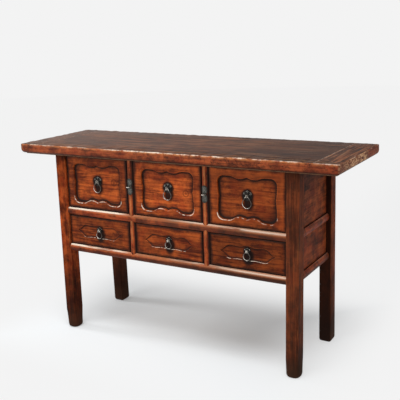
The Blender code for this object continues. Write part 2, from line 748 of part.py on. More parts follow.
def make_drawer(row, bay):
    """A drawer's front, box, pull plate and ring, under one empty at the middle of its face."""
    low, high = OPENINGS[row]
    tag = "%s_%s" % (row, bay)
    width = BAY_WIDTH - 2 * DRAWER_FACE_GAP
    height = high - low - 2 * DRAWER_FACE_GAP
    middle = (low + high) / 2
    anchor = bpy.data.objects.new("drawer_" + tag, None)
    bpy.context.collection.objects.link(anchor)
    anchor.location = (BAYS[bay] * (BAY_WIDTH + MUNTIN_WIDTH), DRAWER_FACE, middle)

    front = block(
        "drawer_front_" + tag,
        (-width / 2, 0.0, -height / 2),
        (width / 2, DRAWER_FRONT_THICKNESS, height / 2),
    )
    recess = UPPER_RECESS if row == "upper" else LOWER_RECESS
    carved = cusped_outline if row == "upper" else pointed_outline
    sinking = prism("sinking", carved(width, height), along_y, -recess, recess)
    sinking.parent = anchor
    cut(front, sinking)

    half = BAY_WIDTH / 2 - DRAWER_SIDE_GAP
    start = DRAWER_FRONT_THICKNESS + SEAT_GAP
    end = BACK_RAIL_FRONT - DRAWER_BACK_GAP - DRAWER_FACE
    base = low + SEAT_GAP - middle
    rim = high - DRAWER_RIM_DROP - middle
    box = block("drawer_box_" + tag, (-half, start, base), (half, end, rim))
    hollow = block(
        "hollow",
        (DRAWER_WALL - half, start - DRAWER_WALL, base + DRAWER_BOTTOM),
        (half - DRAWER_WALL, end - DRAWER_WALL, rim + DRAWER_WALL),
    )
    hollow.parent = anchor
    cut(box, hollow)

    plate_radius = UPPER_PLATE_RADIUS if row == "upper" else LOWER_PLATE_RADIUS
    plate = make_pull_plate("pull_plate_" + tag, plate_radius)
    rise = UPPER_EYE_RISE if row == "upper" else LOWER_EYE_RISE
    plate.location = (0.0, recess - SEAT_GAP, rise)
    eye = bpy.data.objects["eye"]
    eye.name = "eye_" + tag
    eye.parent = anchor
    eye.location = plate.location

    ring_width = UPPER_RING_WIDTH if row == "upper" else LOWER_RING_WIDTH
    ring_height = UPPER_RING_HEIGHT if row == "upper" else LOWER_RING_HEIGHT
    ring = tube("pull_ring_" + tag, ring_path(ring_width, ring_height), RING_WIRE, True)
    ring.location = (0.0, recess - SEAT_GAP - eye_depth(), rise)
    for piece in (front, box, plate, ring):
        piece.parent = anchor
    return front, box, plate, ring


def settle():
    """Turn every piece's cuts and joins into its own mesh, and clear the tools away."""
    bpy.context.view_layer.update()
    depsgraph = bpy.context.evaluated_depsgraph_get()
    for piece in [item for item in bpy.data.objects if item.modifiers]:
        shaped = bpy.data.meshes.new_from_object(piece.evaluated_get(depsgraph))
        shaped.name = piece.name
        piece.modifiers.clear()
        piece.data = shaped
    for tool in [item for item in bpy.data.objects if item.hide_render]:
        bpy.data.objects.remove(tool)
    bpy.context.view_layer.update()


def spread(point):
    """A point of the upright case moved to where the leaning legs carry it."""
    fall = max(UNDERSIDE - point.z, 0.0) / UNDERSIDE
    return Vector((point.x, point.y * (1 + LEG_SPREAD / HALF_DEPTH * fall), point.z))


def spread_case(pieces, hanging):
    """Lean the case out towards the floor. Hanging rings only move with their eyes."""
    anchors = [item for item in bpy.data.objects if item.type == "EMPTY"]
    origins = {item: item.matrix_world.translation.copy() for item in pieces + hanging + anchors}
    for item, origin in origins.items():
        if item in pieces:
            for vertex in item.data.vertices:
                vertex.co = spread(origin + vertex.co) - spread(origin)
        base = spread(origins[item.parent]) if item.parent else Vector()
        item.location = spread(origin) - base
    bpy.context.view_layer.update()


def dress(pieces, material, smooth_angle=pi / 6):
    """Give pieces their finish, smooth on round stretches and sharp at their arrises."""
    for piece in pieces:
        piece.data.materials.clear()
        piece.data.materials.append(material)
        piece.data.shade_smooth()
        piece.data.set_sharp_from_angle(angle=smooth_angle)


def main():
    for item in list(bpy.data.objects):
        bpy.data.objects.remove(item)

    frame = make_top()
    legs = make_legs(frame)
    long_rails = make_long_rails(legs)
    end_rails = make_end_rails(legs)
    panels = make_panels(legs, long_rails, end_rails)
    muntins = make_muntins(long_rails, frame)
    runners = make_runners(long_rails)
    irons = make_locks(muntins)
    drawers = [make_drawer(row, bay) for row in OPENINGS for bay in BAYS]
    settle()

    top = [bpy.data.objects[name] for name in ("top_panel", "top_batten")]
    fronts, boxes, plates, rings = (list(group) for group in zip(*drawers))
    case = [*legs.values(), *long_rails.values(), *end_rails.values(), *muntins.values()]
    spread_case(case + panels + runners + irons + fronts + boxes + plates, rings)

    dress([*frame.values(), top[0]], finish("dark top wood", (0.10, 0.062, 0.045), 0.45))
    dress(case + panels, finish("red-brown case wood", (0.22, 0.050, 0.018), 0.40))
    dress(fronts, finish("orange-brown front wood", (0.30, 0.080, 0.023), 0.40))
    dress(boxes + runners + [top[1]], finish("raw inner wood", (0.36, 0.22, 0.12), 0.75))
    dress(irons + plates + rings, finish("forged iron", (0.060, 0.054, 0.047), 0.50, 0.9))


main()
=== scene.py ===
"""Six-drawer side table in worn red-brown wood with forged iron fittings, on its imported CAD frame.

Metres, +Z up. The drawers face -Y, and everything under the top leans out towards the floor.
"""

import json
from contextlib import contextmanager
from math import cos, pi, radians, sin, sqrt

import bmesh
import bpy
from bpy.props import FloatProperty, FloatVectorProperty, PointerProperty
from bpy.types import Operator, Panel, PropertyGroup
from mathutils import Matrix, Vector
from mathutils.geometry import interpolate_bezier

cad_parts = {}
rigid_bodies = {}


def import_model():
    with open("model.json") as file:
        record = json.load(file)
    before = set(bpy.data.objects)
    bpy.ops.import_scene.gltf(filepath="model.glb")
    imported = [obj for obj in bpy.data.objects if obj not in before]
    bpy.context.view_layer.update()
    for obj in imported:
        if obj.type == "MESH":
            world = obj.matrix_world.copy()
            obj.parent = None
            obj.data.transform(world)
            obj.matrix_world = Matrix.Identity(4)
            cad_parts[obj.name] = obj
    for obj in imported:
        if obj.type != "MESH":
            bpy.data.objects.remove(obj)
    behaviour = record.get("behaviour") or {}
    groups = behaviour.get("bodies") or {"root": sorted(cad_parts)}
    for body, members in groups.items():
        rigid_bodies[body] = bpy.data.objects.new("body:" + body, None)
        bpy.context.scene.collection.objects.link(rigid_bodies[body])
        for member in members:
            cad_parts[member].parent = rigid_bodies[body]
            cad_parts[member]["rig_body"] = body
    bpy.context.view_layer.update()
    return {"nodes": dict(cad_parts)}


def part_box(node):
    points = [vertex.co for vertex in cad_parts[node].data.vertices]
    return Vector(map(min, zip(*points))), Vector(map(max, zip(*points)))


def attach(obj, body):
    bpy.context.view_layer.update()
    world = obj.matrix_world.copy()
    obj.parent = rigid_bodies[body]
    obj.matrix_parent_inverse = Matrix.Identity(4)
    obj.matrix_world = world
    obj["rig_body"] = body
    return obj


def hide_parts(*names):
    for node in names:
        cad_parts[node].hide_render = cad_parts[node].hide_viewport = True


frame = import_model()

bl_info = {
    "name": "Six-drawer side table",
    "version": (1, 0, 0),
    "blender": (4, 5, 0),
    "location": "View3D > Sidebar > Side table",
    "description": "Dresses the frame of a six-drawer side table in worn wood and forged iron",
    "category": "Object",
}

TABLE_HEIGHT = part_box("top_frame_front")[1].z
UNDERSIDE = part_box("top_frame_front")[0].z
TOP_HALF_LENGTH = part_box("top_frame_right")[1].x
TOP_HALF_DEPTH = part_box("top_frame_back")[1].y
TOP_FRAME_WIDTH = TOP_HALF_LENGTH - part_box("top_frame_right")[0].x
ROWS = ("upper", "lower")
BAYS = ("left", "centre", "right")
SIDES = ("left", "right")
RUDDY_SHARES = (0.62, 0.40, 0.45)  # what ruddy lacquer leaves of red, green and blue
BELOW = 0.999  # share of a height that leaves out the vertices on it
UNWORN = 0.004  # stretch of a leg under the top that stays as it was planed

# The stage. A softbox has its name, place, aim, width and watts, and the camera's angles are in degrees.
SOFTBOXES = (
    ("overhead softbox", (0.55, -1.6, 4.8), (0.0, 0.0, 0.4), 2.2, 134.0),
    ("front softbox", (-1.5, -3.0, 1.5), (0.0, 0.0, 0.55), 2.0, 33.0),
    ("left softbox", (-2.7, -0.35, 1.6), (0.0, 0.0, 0.1), 0.5, 22.0),
)
FLOOR_RADIUS, FLOOR_MIDDLE = 14.0, 3.0
AMBIENT_STRENGTH = 0.42
COOL_TINT = (0.96, 1.0, 1.025)
CAMERA_PLACE = (1.5030, -2.4555, 1.3085)
CAMERA_TURN, CAMERA_DIP, CAMERA_ROLL = 30.742, 13.585, -2.016
FOCAL_LENGTH = 61.67


def screen(red, green, blue):
    """Linear colour of a screen colour from 0 to 255."""
    return tuple(((part / 255 + 0.055) / 1.055) ** 2.4 for part in (red, green, blue))


def shaded(colour, share):
    """A colour with a share of its light."""
    return [part * share for part in colour]


def length(name, description, default):
    return FloatProperty(
        name=name, description=description, default=default, min=0.0, precision=4, unit="LENGTH"
    )


def colour(name, description, *parts):
    return FloatVectorProperty(
        name=name, description=description, default=screen(*parts), min=0.0, max=1.0, subtype="COLOR"
    )


class SideTableSizes(PropertyGroup):
    """Sizes of the carved and forged pieces."""

    foot_spread: length("Foot spread", "How far a foot stands out beyond the top of its leg", 0.013)
    case_half_depth: length("Half depth of case", "From the case's middle to a leg's face at its top", 0.199)
    foot_round: length("Foot round", "Rounding round the bottom of a leg", 0.014)
    foot_step: length("Foot step", "Height of the worn stretch of the left front foot", 0.085)
    foot_notch: length("Foot notch", "How much slimmer that worn stretch is on its outer side", 0.0018)
    foot_turn: length("Foot turn", "Height below which the corners of a front leg are worn round", 0.090)
    unevenness: length("Unevenness", "Depth of the hollows that planing by hand left", 0.0012)
    arris_wear: length("Arris wear", "Depth of the knocks along the edge of the top", 0.009)
    arris_reach: length("Arris reach", "How far those knocks reach from the edge", 0.006)
    drawer_setback: length("Drawer setback", "From the front of the legs to the face of a drawer", 0.010)
    front_thickness: length("Drawer front thickness", "Thickness of a drawer front", 0.024)
    # the darkening along a drawer's edges and round its carving is soiling and painted shade
    front_border: length("Drawer border", "Width of the dirt along the edges of a drawer front", 0.012)
    dirt_and_shade_line: length("Dirt line", "Width of the dirt on the flat round a carving", 0.003)
    front_arris: length("Drawer arris", "Rounding along the edges of a drawer front", 0.0018)
    panel_depth: length("Sunk panel depth", "Depth of the cusped panel in an upper drawer", 0.010)
    panel_stile: length("Panel stile", "From the side of an upper drawer to its sunk panel", 0.035)
    head_margin: length("Head margin", "From the top of an upper drawer to its sunk panel", 0.032)
    foot_margin: length("Foot margin", "From the bottom of an upper drawer to its sunk panel", 0.022)
    panel_corner: length("Panel corner", "Radius of the corners of a sunk panel", 0.026)
    hump_spread: length("Hump spread", "From the middle of a sunk panel to the crest of a hump", 0.031)
    hump_shoulder: length("Hump shoulder", "Straight stretch between a hump and a corner", 0.0207)
    head_hump: length("Head hump", "Height of the humps above a sunk panel", 0.010)
    foot_hump: length("Foot hump", "Height of the humps below a sunk panel", 0.016)
    cusp_notch: length("Cusp notch", "Depth of the cusp between two humps", 0.008)
    side_cusp: length("Side cusp", "Depth of the wave in the sides of a sunk panel", 0.005)
    cartouche_depth: length("Cartouche depth", "Depth of the pointed cartouche in a lower drawer", 0.004)
    cartouche_stile: length("Cartouche stile", "From a lower drawer's side to its cartouche's tip", 0.040)
    cartouche_margin: length("Cartouche margin", "From a lower drawer's long edge to its cartouche", 0.037)
    cartouche_point: length("Cartouche point", "Length of the points of a cartouche", 0.050)
    cartouche_wave: length("Cartouche wave", "Rise and fall of the waves along a cartouche", 0.003)
    seat_gap: length("Seating gap", "Gap between pieces that rest on each other", 0.0003)
    upper_eye_rise: length("Upper eye rise", "From the middle of an upper drawer to its eye", 0.008)
    lower_eye_rise: length("Lower eye rise", "From the middle of a lower drawer to its eye", 0.009)
    upper_rose: length("Upper rose", "Radius of the iron rose on an upper drawer", 0.0195)
    lower_rose: length("Lower rose", "Radius of the iron rose on a lower drawer", 0.0125)
    # the dark ring round a rose is a stain and a painted shadow of the rose
    rose_stain_and_shadow: length("Rose stain", "How far the dark stain shows round a rose on an upper drawer", 0.0025)
    rose_lobe: length("Rose lobe", "How far the lobes of a rose stand out", 0.0012)
    rose_thickness: length("Rose thickness", "Thickness of an iron rose", 0.0016)
    boss_radius: length("Boss radius", "Radius of the boss under an eye", 0.007)
    boss_height: length("Boss height", "Height of the boss under an eye", 0.0024)
    eye_hole: length("Eye hole", "Radius of the hole that a ring hangs in", 0.0028)
    eye_reach: length("Eye reach", "From the back of a rose to the middle of its eye", 0.0076)
    eye_wire: length("Eye wire", "Half the thickness of an eye", 0.0022)
    ring_wear: length("Ring wear", "How much slimmer a ring is worn above its foot", 0.0005)
    ring_foot: length("Ring foot", "How much less its foot is worn", 0.0002)
    lock_width: length("Lock plate width", "Width of a lock plate at its lobes", 0.025)
    lock_height: length("Lock plate height", "Height of a lock plate", 0.070)
    lock_thickness: length("Lock plate thickness", "Thickness of a lock plate", 0.0018)
    lock_gap: length("Lock plate gap", "Gap between a lock plate and its muntin", 0.0005)
    muntin_crown: length("Muntin crown", "Rise of the rounded face of a muntin", 0.008)
    muntin_setback: length("Muntin setback", "From the front of the legs to the crown of a muntin", 0.004)


class SideTableColours(PropertyGroup):
    """Colours of the woods, the iron and the floor."""

    top_pale: colour("Top, pale", "Pale streaks on the top surface", 122, 74, 47)
    top_deep: colour("Top, deep", "Dark streaks on the top surface", 40, 22, 14)
    # this paler grey is bleaching and a painted sheen, towards the left end
    top_bleached_and_sheen: colour("Top, bleached", "Bleached end of the top surface", 126, 102, 86)
    edge_pale: colour("Edge, pale", "Pale streaks on the edge of the top", 164, 80, 42)
    edge_deep: colour("Edge, deep", "Dark streaks on the edge of the top", 82, 36, 20)
    case_pale: colour("Case, pale", "Pale streaks on legs, rails and muntins", 178, 82, 38)
    case_deep: colour("Case, deep", "Dark streaks on legs, rails and muntins", 72, 28, 15)
    front_pale: colour("Drawer fronts, pale", "Pale streaks on the drawer fronts", 192, 92, 38)
    front_deep: colour("Drawer fronts, deep", "Dark streaks on the drawer fronts", 92, 35, 16)
    panel_pale: colour("End panels, pale", "Pale streaks on the end and back panels", 158, 78, 40)
    panel_deep: colour("End panels, deep", "Dark streaks on the end and back panels", 62, 28, 15)
    inner_pale: colour("Inner wood, pale", "Pale streaks on drawer boxes and runners", 190, 152, 108)
    inner_deep: colour("Inner wood, deep", "Dark streaks on drawer boxes and runners", 136, 98, 64)
    end_pale: colour("Ends, pale", "Bare wood on the ends of the top", 200, 154, 114)
    end_deep: colour("Ends, deep", "Dark wood on the ends of the top", 76, 45, 29)
    # this pale colour is also a painted highlight along the rail crowns and the lower edges of carvings
    worn: colour("Worn wood", "Wood rubbed bare along arrises", 234, 216, 196)
    # along rail and muntin crowns this colour is partly a painted highlight
    thin: colour("Thin lacquer", "Wood rubbed until the lacquer is thin", 206, 132, 78)
    # this brown is old lacquer on rails and feet, and painted shade on legs that stand in the shade
    aged_and_shaded: colour("Aged wood", "Brown of old lacquer on legs and rails", 82, 57, 43)
    # this dark colour is soiling, and also painted shade in recesses, gaps, undersides and under the top
    grime: colour("Grime", "Old dirt in corners, undersides and feet", 28, 17, 13)
    plate_iron: colour("Plate iron", "Black iron of the roses", 27, 26, 24)
    lock_iron: colour("Lock iron", "Grey iron of the lock plates", 44, 46, 42)
    ring_iron: colour("Ring iron", "Handled iron of the rings", 84, 76, 70)
    rust: colour("Rust", "Brown patches on the iron", 36, 28, 25)
    # this bright colour is also painted highlights and glints on roses, eyes, rings, lock plates and whole
    # staples
    bright_iron_and_glint: colour("Bright iron", "Iron rubbed bright on its edges", 224, 218, 206)
    floor: colour("Floor", "Studio floor and backdrop", 243, 243, 243)


class Reading:
    """A socket that takes part in plain arithmetic through Math nodes."""

    def __init__(self, nodes, socket):
        self.nodes = nodes
        self.socket = socket

    def maths(self, operation, first, second=0.0):
        values = {"Value": first, "Value_001": second}
        node = self.nodes.add("ShaderNodeMath", {"operation": operation}, values)
        return Reading(self.nodes, node.outputs["Value"])

    def __add__(self, other):
        return self.maths("ADD", self, other)

    __radd__ = __add__

    def __sub__(self, other):
        return self.maths("SUBTRACT", self, other)

    def __rsub__(self, other):
        return self.maths("SUBTRACT", other, self)

    def __mul__(self, other):
        return self.maths("MULTIPLY", self, other)

    __rmul__ = __mul__

    def __neg__(self):
        return 0.0 - self

    def __abs__(self):
        return self.maths("ABSOLUTE", self)

    def wave(self):
        """Sine, brought to 0 to 1."""
        return self.maths("SINE", self) * 0.5 + 0.5

    def root(self):
        return self.maths("SQRT", self)

    def least(self, other):
        return self.maths("MINIMUM", self, other)

    def most(self, other):
        return self.maths("MAXIMUM", self, other)

    def between(self, low, high):
        """0 below low, 1 above high, and smooth in between."""
        node = self.nodes.add(
            "ShaderNodeMapRange",
            {"interpolation_type": "SMOOTHSTEP"},
            {"Value": self, "From Min": low, "From Max": high},
        )
        return Reading(self.nodes, node.outputs["Result"])


class Nodes:
    """A node tree, and the one way to add to it."""

    def __init__(self, tree):
        self.tree = tree

    def add(self, kind, settings=None, sockets=None):
        """One node: first its settings, then the values or links of its sockets."""
        node = self.tree.nodes.new(kind)
        for key, value in (settings or {}).items():
            setattr(node, key, value)
        for key, value in (sockets or {}).items():
            self.feed(next(socket for socket in node.inputs if socket.identifier == key), value)
        return node

    def feed(self, socket, value):
        """Link a reading or a socket, or set a plain value."""
        if isinstance(value, Reading):
            value = value.socket
        if isinstance(value, bpy.types.NodeSocket):
            self.tree.links.new(value, socket)
        elif socket.type == "RGBA":
            socket.default_value = (*value[:3], 1.0)
        else:
            socket.default_value = value

    def show(self, mask, under, over):
        """Send one shader over another to the output, where the mask says."""
        mixed = self.add("ShaderNodeMixShader", None, {"Fac": mask, "Shader": under, "Shader_001": over})
        output = next(node for node in self.tree.nodes if node.type.startswith("OUTPUT_"))
        self.feed(output.inputs["Surface"], mixed.outputs["Shader"])


class Finish(Nodes):
    """A procedural material while it is put together."""

    def __init__(self, name, seed=0.0):
        self.material = bpy.data.materials.new(name)
        self.material.use_nodes = True
        super().__init__(self.material.node_tree)
        self.shader = self.tree.nodes["Principled BSDF"]
        self.coordinates = self.add("ShaderNodeTexCoord")
        self.seed = seed
        self.base = None

    def parts(self, output):
        """The three parts of the Object coordinates or of the surface's Normal."""
        node = self.add("ShaderNodeSeparateXYZ", None, {"Vector": self.coordinates.outputs[output]})
        return [Reading(self, node.outputs[axis]) for axis in "XYZ"]

    def mark(self, name):
        """What the modelling wrote into one of the piece's attributes."""
        return Reading(self, self.add("ShaderNodeAttribute", {"attribute_name": name}).outputs["Fac"])

    def noise(self, waves, step, detail=4.0, roughness=0.65, distortion=0.0):
        """Noise with so many waves to the metre, on all axes or each. Its step sets it apart from others."""
        seed = self.seed + step
        spot = self.add("ShaderNodeMapping", None, {
            "Vector": self.coordinates.outputs["Object"],
            "Location": (seed, seed * 1.7, seed * 0.6),
            "Scale": waves if isinstance(waves, tuple) else (waves, waves, waves),
        })
        cloud = self.add("ShaderNodeTexNoise", None, {
            "Vector": spot.outputs["Vector"], "Scale": 1.0, "Detail": detail,
            "Roughness": roughness, "Distortion": distortion,
        })
        return Reading(self, cloud.outputs["Fac"])

    def blend(self, mask, under, over):
        """One colour over another where the mask says."""
        node = self.add(
            "ShaderNodeMix", {"data_type": "RGBA"}, {"Factor_Float": mask, "A_Color": under, "B_Color": over}
        )
        return next(socket for socket in node.outputs if socket.identifier == "Result_Color")

    def wash(self, mask, colour):
        """Lay a colour over all that was laid before, where the mask says."""
        self.base = self.blend(mask, self.base, colour)

    def coat(self, roughness, height, relief, specular=0.5):
        """Feed the shader and return the material."""
        self.feed(self.shader.inputs["Base Color"], self.base)
        self.feed(self.shader.inputs["Roughness"], roughness)
        bump = self.add("ShaderNodeBump", None, {"Strength": 0.6, "Distance": relief, "Height": height})
        self.feed(self.shader.inputs["Normal"], bump.outputs["Normal"])
        self.shader.inputs["Specular IOR Level"].default_value = specular
        return self.material


class Wood(Finish):
    """Lacquered wood with its grain along x, y or z."""

    def __init__(self, name, seed, grain):
        super().__init__(name, seed)
        self.grain = grain

    def fibrous(self, lengthwise, across, step, **looks):
        """Noise drawn out along the grain."""
        waves = tuple(lengthwise if axis == self.grain else across for axis in "xyz")
        return self.noise(waves, step, **looks)

    def lay_grain(self, pale, deep, bands=0.15, cloudy=0.55, step=0.0):
        """Lay the board's own colour: growth bands, streaks, fine fibres and clouds of age."""
        figure = self.fibrous(1.1, 9.0, step, detail=2.0, roughness=0.45, distortion=0.5)
        rings = (figure * 70.0).wave()
        self.streaks = self.fibrous(5.0, 90.0, step + 5.0, detail=6.0, roughness=0.66)
        self.fibres = self.fibrous(14.0, 420.0, step + 9.0, detail=3.0, roughness=0.6)
        clouds = self.noise(14.0, step + 13.0, detail=5.0, roughness=0.68).between(0.36, 0.64)
        streaky = self.streaks.between(0.36, 0.64)
        tone = rings * bands + streaky * (1.0 - cloudy - bands) + clouds * cloudy
        self.base = self.blend(tone.between(0.05, 0.95), deep, pale)
        ruddy = self.noise(21.0, step + 59.0).between(0.46, 0.62)
        self.wash(ruddy * cloudy, [part * share for part, share in zip(pale, RUDDY_SHARES)])
        lacquer = self.fibrous(55.0, 80.0, step + 53.0, detail=6.0, roughness=0.74)
        self.wash(lacquer.between(0.53, 0.68) * 0.5, shaded(deep, 0.3))
        hairs = self.fibrous(7.0, 210.0, step + 67.0, roughness=0.6)
        self.wash(hairs.between(0.55, 0.66) * 0.55, shaded(deep, 0.3))
        self.wash(self.fibres.between(0.50, 0.70) * 0.45, shaded(deep, 0.4))

    def seal(self, dry, dull, relief, gloss):
        """Coat the wood: dull is its roughness, dry how much the fibres add to it."""
        return self.coat(self.fibres * dry + dull, self.streaks * 0.6 + self.fibres * 0.4, relief, gloss)


def rail_wood(name, grain, seed, colours, worn, rub_and_highlight_side, dark_below, gloss):
    """Half-round rails, rubbed pale with a painted highlight where the given side points, browner to the
    right, with painted shade off the crown in the right bays and below.
    """
    finish = Wood(name, seed, grain)
    finish.lay_grain(colours.case_pale, colours.case_deep)
    across, ahead, upward = finish.parts("Normal")
    lengthwise = finish.parts("Object")["xyz".index(grain)]
    level = across * rub_and_highlight_side[0] + ahead * rub_and_highlight_side[1]
    lowered = lengthwise.between(0.10, 0.35)
    # crown: how far the surface faces the side with the painted highlight
    crown = level + upward * rub_and_highlight_side[2] + (level * 0.22 - upward * rub_and_highlight_side[2] * 0.25) * lowered
    patches = finish.fibrous(5.0, 60.0, 21.0).between(0.30, 0.48)
    browned = lengthwise.between(-0.22, 0.0) * worn
    finish.wash(browned * 0.38, colours.aged_and_shaded)
    # thin lacquer along the crown: rubbing, and partly a painted highlight
    finish.wash(crown.between(0.72, 0.97) * (patches * 0.2 + 0.08) * worn, colours.thin)
    # painted shade off the crown in the right bays
    dimmed = lengthwise.between(0.05, 0.25) * (1.0 - crown.between(0.88, 0.98))
    finish.wash(dimmed * 0.38 * worn, colours.grime)
    # painted highlight along the crown: a wide band and a fine line, in the worn colour
    broad_highlight = (abs(lengthwise + 0.11).between(0.08, 0.16) * 0.9 + 0.1) * (1.0 - browned * 0.78)
    line = crown.between(0.981, 0.995) * lengthwise.between(0.02, 0.14)
    finish.wash((crown.between(0.935, 0.990) * broad_highlight + line * 0.40) * patches * worn, colours.worn)
    # painted shade on the underside
    amount, reach = dark_below
    finish.wash((-upward).between(-reach, 0.7 - reach) * amount, colours.grime)
    finish.wash(upward.between(0.90, 0.975) * 0.9, colours.grime)
    return finish.seal(dry=0.20, dull=0.26, relief=0.0008, gloss=gloss)


def muntin_wood(name, seed, colours):
    """Half-round muntins, rubbed along the crown with a partly painted highlight, and black with painted
    shade beside it.
    """
    finish = Wood(name, seed, "z")
    finish.lay_grain(colours.case_pale, colours.case_deep, bands=0.2)
    across, ahead, _ = finish.parts("Normal")
    patches = finish.noise((60.0, 60.0, 12.0), 21.0).between(0.42, 0.60)
    # thin lacquer along the crown: rubbing, and partly a painted highlight
    finish.wash((-ahead).between(0.95, 0.995) * patches * 0.4, colours.thin)
    # painted shade in the gaps beside the muntin
    finish.wash(abs(across).between(0.36, 0.66) * 0.95, colours.grime)
    return finish.seal(dry=0.25, dull=0.30, relief=0.0008, gloss=0.08)


def leg_wood(name, seed, colours, shade, dark_below, unlit):
    """Veined legs, in painted shade where a leg stands in shade, rubbed at the corners, with painted shade
    under the top and on an unlit front, darker above the floor, dusty at the foot.
    """
    finish = Wood(name, seed, "z")
    # shade makes a darker copy of the case wood: painted shade on a leg that stands in the shade
    pale = shaded(colours.case_pale, 1.0 - shade)
    deep = shaded(colours.case_deep, 1.0 - shade * 0.6)
    finish.lay_grain(pale, deep, bands=0.25)
    finish.wash(shade * 0.75, colours.aged_and_shaded)
    veins = finish.fibrous(4.0, 130.0, 41.0, roughness=0.6)
    finish.wash(veins.between(0.53, 0.60) * 0.32, shaded(deep, 0.35))
    finish.wash((1.0 - veins.between(0.38, 0.46)) * 0.14, colours.case_pale)
    across, ahead, _ = finish.parts("Normal")
    corner = (abs(across * ahead) * 2.0).between(0.75, 1.0)
    patches = finish.noise((14.0, 14.0, 5.0), 17.0).between(0.48, 0.68)
    finish.wash(corner * patches * 0.3, colours.thin)
    height = finish.parts("Object")[2]
    # darker towards the floor
    mottle = finish.noise((9.0, 9.0, 5.0), 29.0)
    dirt_and_shade = 1.0 - (height + (mottle - 0.5) * 0.30).between(0.0, dark_below)
    finish.wash(dirt_and_shade * 0.9, colours.grime)
    finish.wash((1.0 - height.between(0.0, 0.12)) * 0.4, shaded(colours.aged_and_shaded, 0.8))
    # painted shade under the top
    finish.wash(height.between(UNDERSIDE - 0.05, UNDERSIDE) * 0.7, colours.grime)
    # painted shade on the front of an unlit leg
    finish.wash((-ahead).between(0.55, 0.90) * unlit, colours.grime)
    return finish.seal(dry=0.20, dull=0.48, relief=0.0010, gloss=0.02)


def distance(wide, high):
    """Length of a line from its two parts."""
    return (wide * wide + high * high).root()


def front_wood(name, seed, colours, box, eye, rose, sunk, shade, border, knot):
    """Carved drawer fronts: pale along the lower edge of the carving with rubbing and a painted highlight,
    soiled and in painted shade round it and at the edges, stained behind the ring with its painted shadow.
    """
    finish = Wood(name, seed, "x")
    pale = shaded(colours.front_pale, 1.0 - shade)
    deep = shaded(colours.front_deep, 1.0 - shade)
    finish.lay_grain(pale, deep, cloudy=0.42)
    patches = finish.noise(18.0, 17.0, detail=5.0, roughness=0.68)
    x, y, z = finish.parts("Object")
    if knot is not None:
        away = distance(x - eye.x - knot[0], z - eye.z - knot[1]) + (patches - 0.5) * 0.010
        finish.wash((away * 620.0).wave() * (1.0 - away.between(0.014, 0.023)) * 0.62, shaded(deep, 0.6))
    raised = 1.0 - (y - box[0].y).between(0.0012 + sunk * 0.3, 0.0022 + sunk * 0.4)
    tint = shaded(deep, 0.4) if border > 0.0 else colours.front_pale
    finish.wash(raised * (patches.between(0.36, 0.62) * 0.7 + 0.3) * abs(border), tint)
    beside = x - eye.x
    above = z - eye.z
    # a stain from hands round the ring and rose, with a painted shadow of the ring to its right and of the
    # rose round it
    from_ring = distance(beside - 0.005, (above + 0.022) * 0.67) + (patches - 0.5) * 0.018
    from_rose = distance(beside, above) + (patches - 0.5) * 0.014
    handled = (1.0 - from_ring.between(0.015, 0.030)).most(1.0 - from_rose.between(rose, rose + 0.011))
    finish.wash(handled * 0.95, shaded(colours.grime, 0.5))
    # painted shade in the gaps along the drawer's edges, with soiling
    middle = (box[0] + box[1]) / 2
    half = (box[1] - box[0]) / 2
    from_side = (half.x - abs(x - middle.x)).least(half.z - abs(z - middle.z))
    edges = 1.0 - (from_side + (patches - 0.5) * 0.036).between(0.001, 0.018)
    finish.wash(edges * (0.80 + max(border, 0.0) * 0.2), colours.grime)
    # painted shade in and round the carving, with soiling
    dirt_and_shade = finish.mark("grime")
    dirt_and_shade = (dirt_and_shade.between(0.0, 1.0) * patches.between(0.20, 0.55)).most(dirt_and_shade.between(0.50, 0.85))
    finish.wash(dirt_and_shade * 0.95, colours.grime)
    # pale lower edge of the carving: rubbing and a painted highlight
    flecks = finish.noise(85.0, 71.0, detail=3.0, roughness=0.6)
    rubbed = finish.mark("wear").between(0.35, 0.95) * patches.between(0.34, 0.50)
    finish.wash(rubbed * flecks.between(0.38, 0.54) * 0.95, colours.worn)
    return finish.seal(dry=0.25, dull=0.30, relief=0.0009, gloss=0.07)


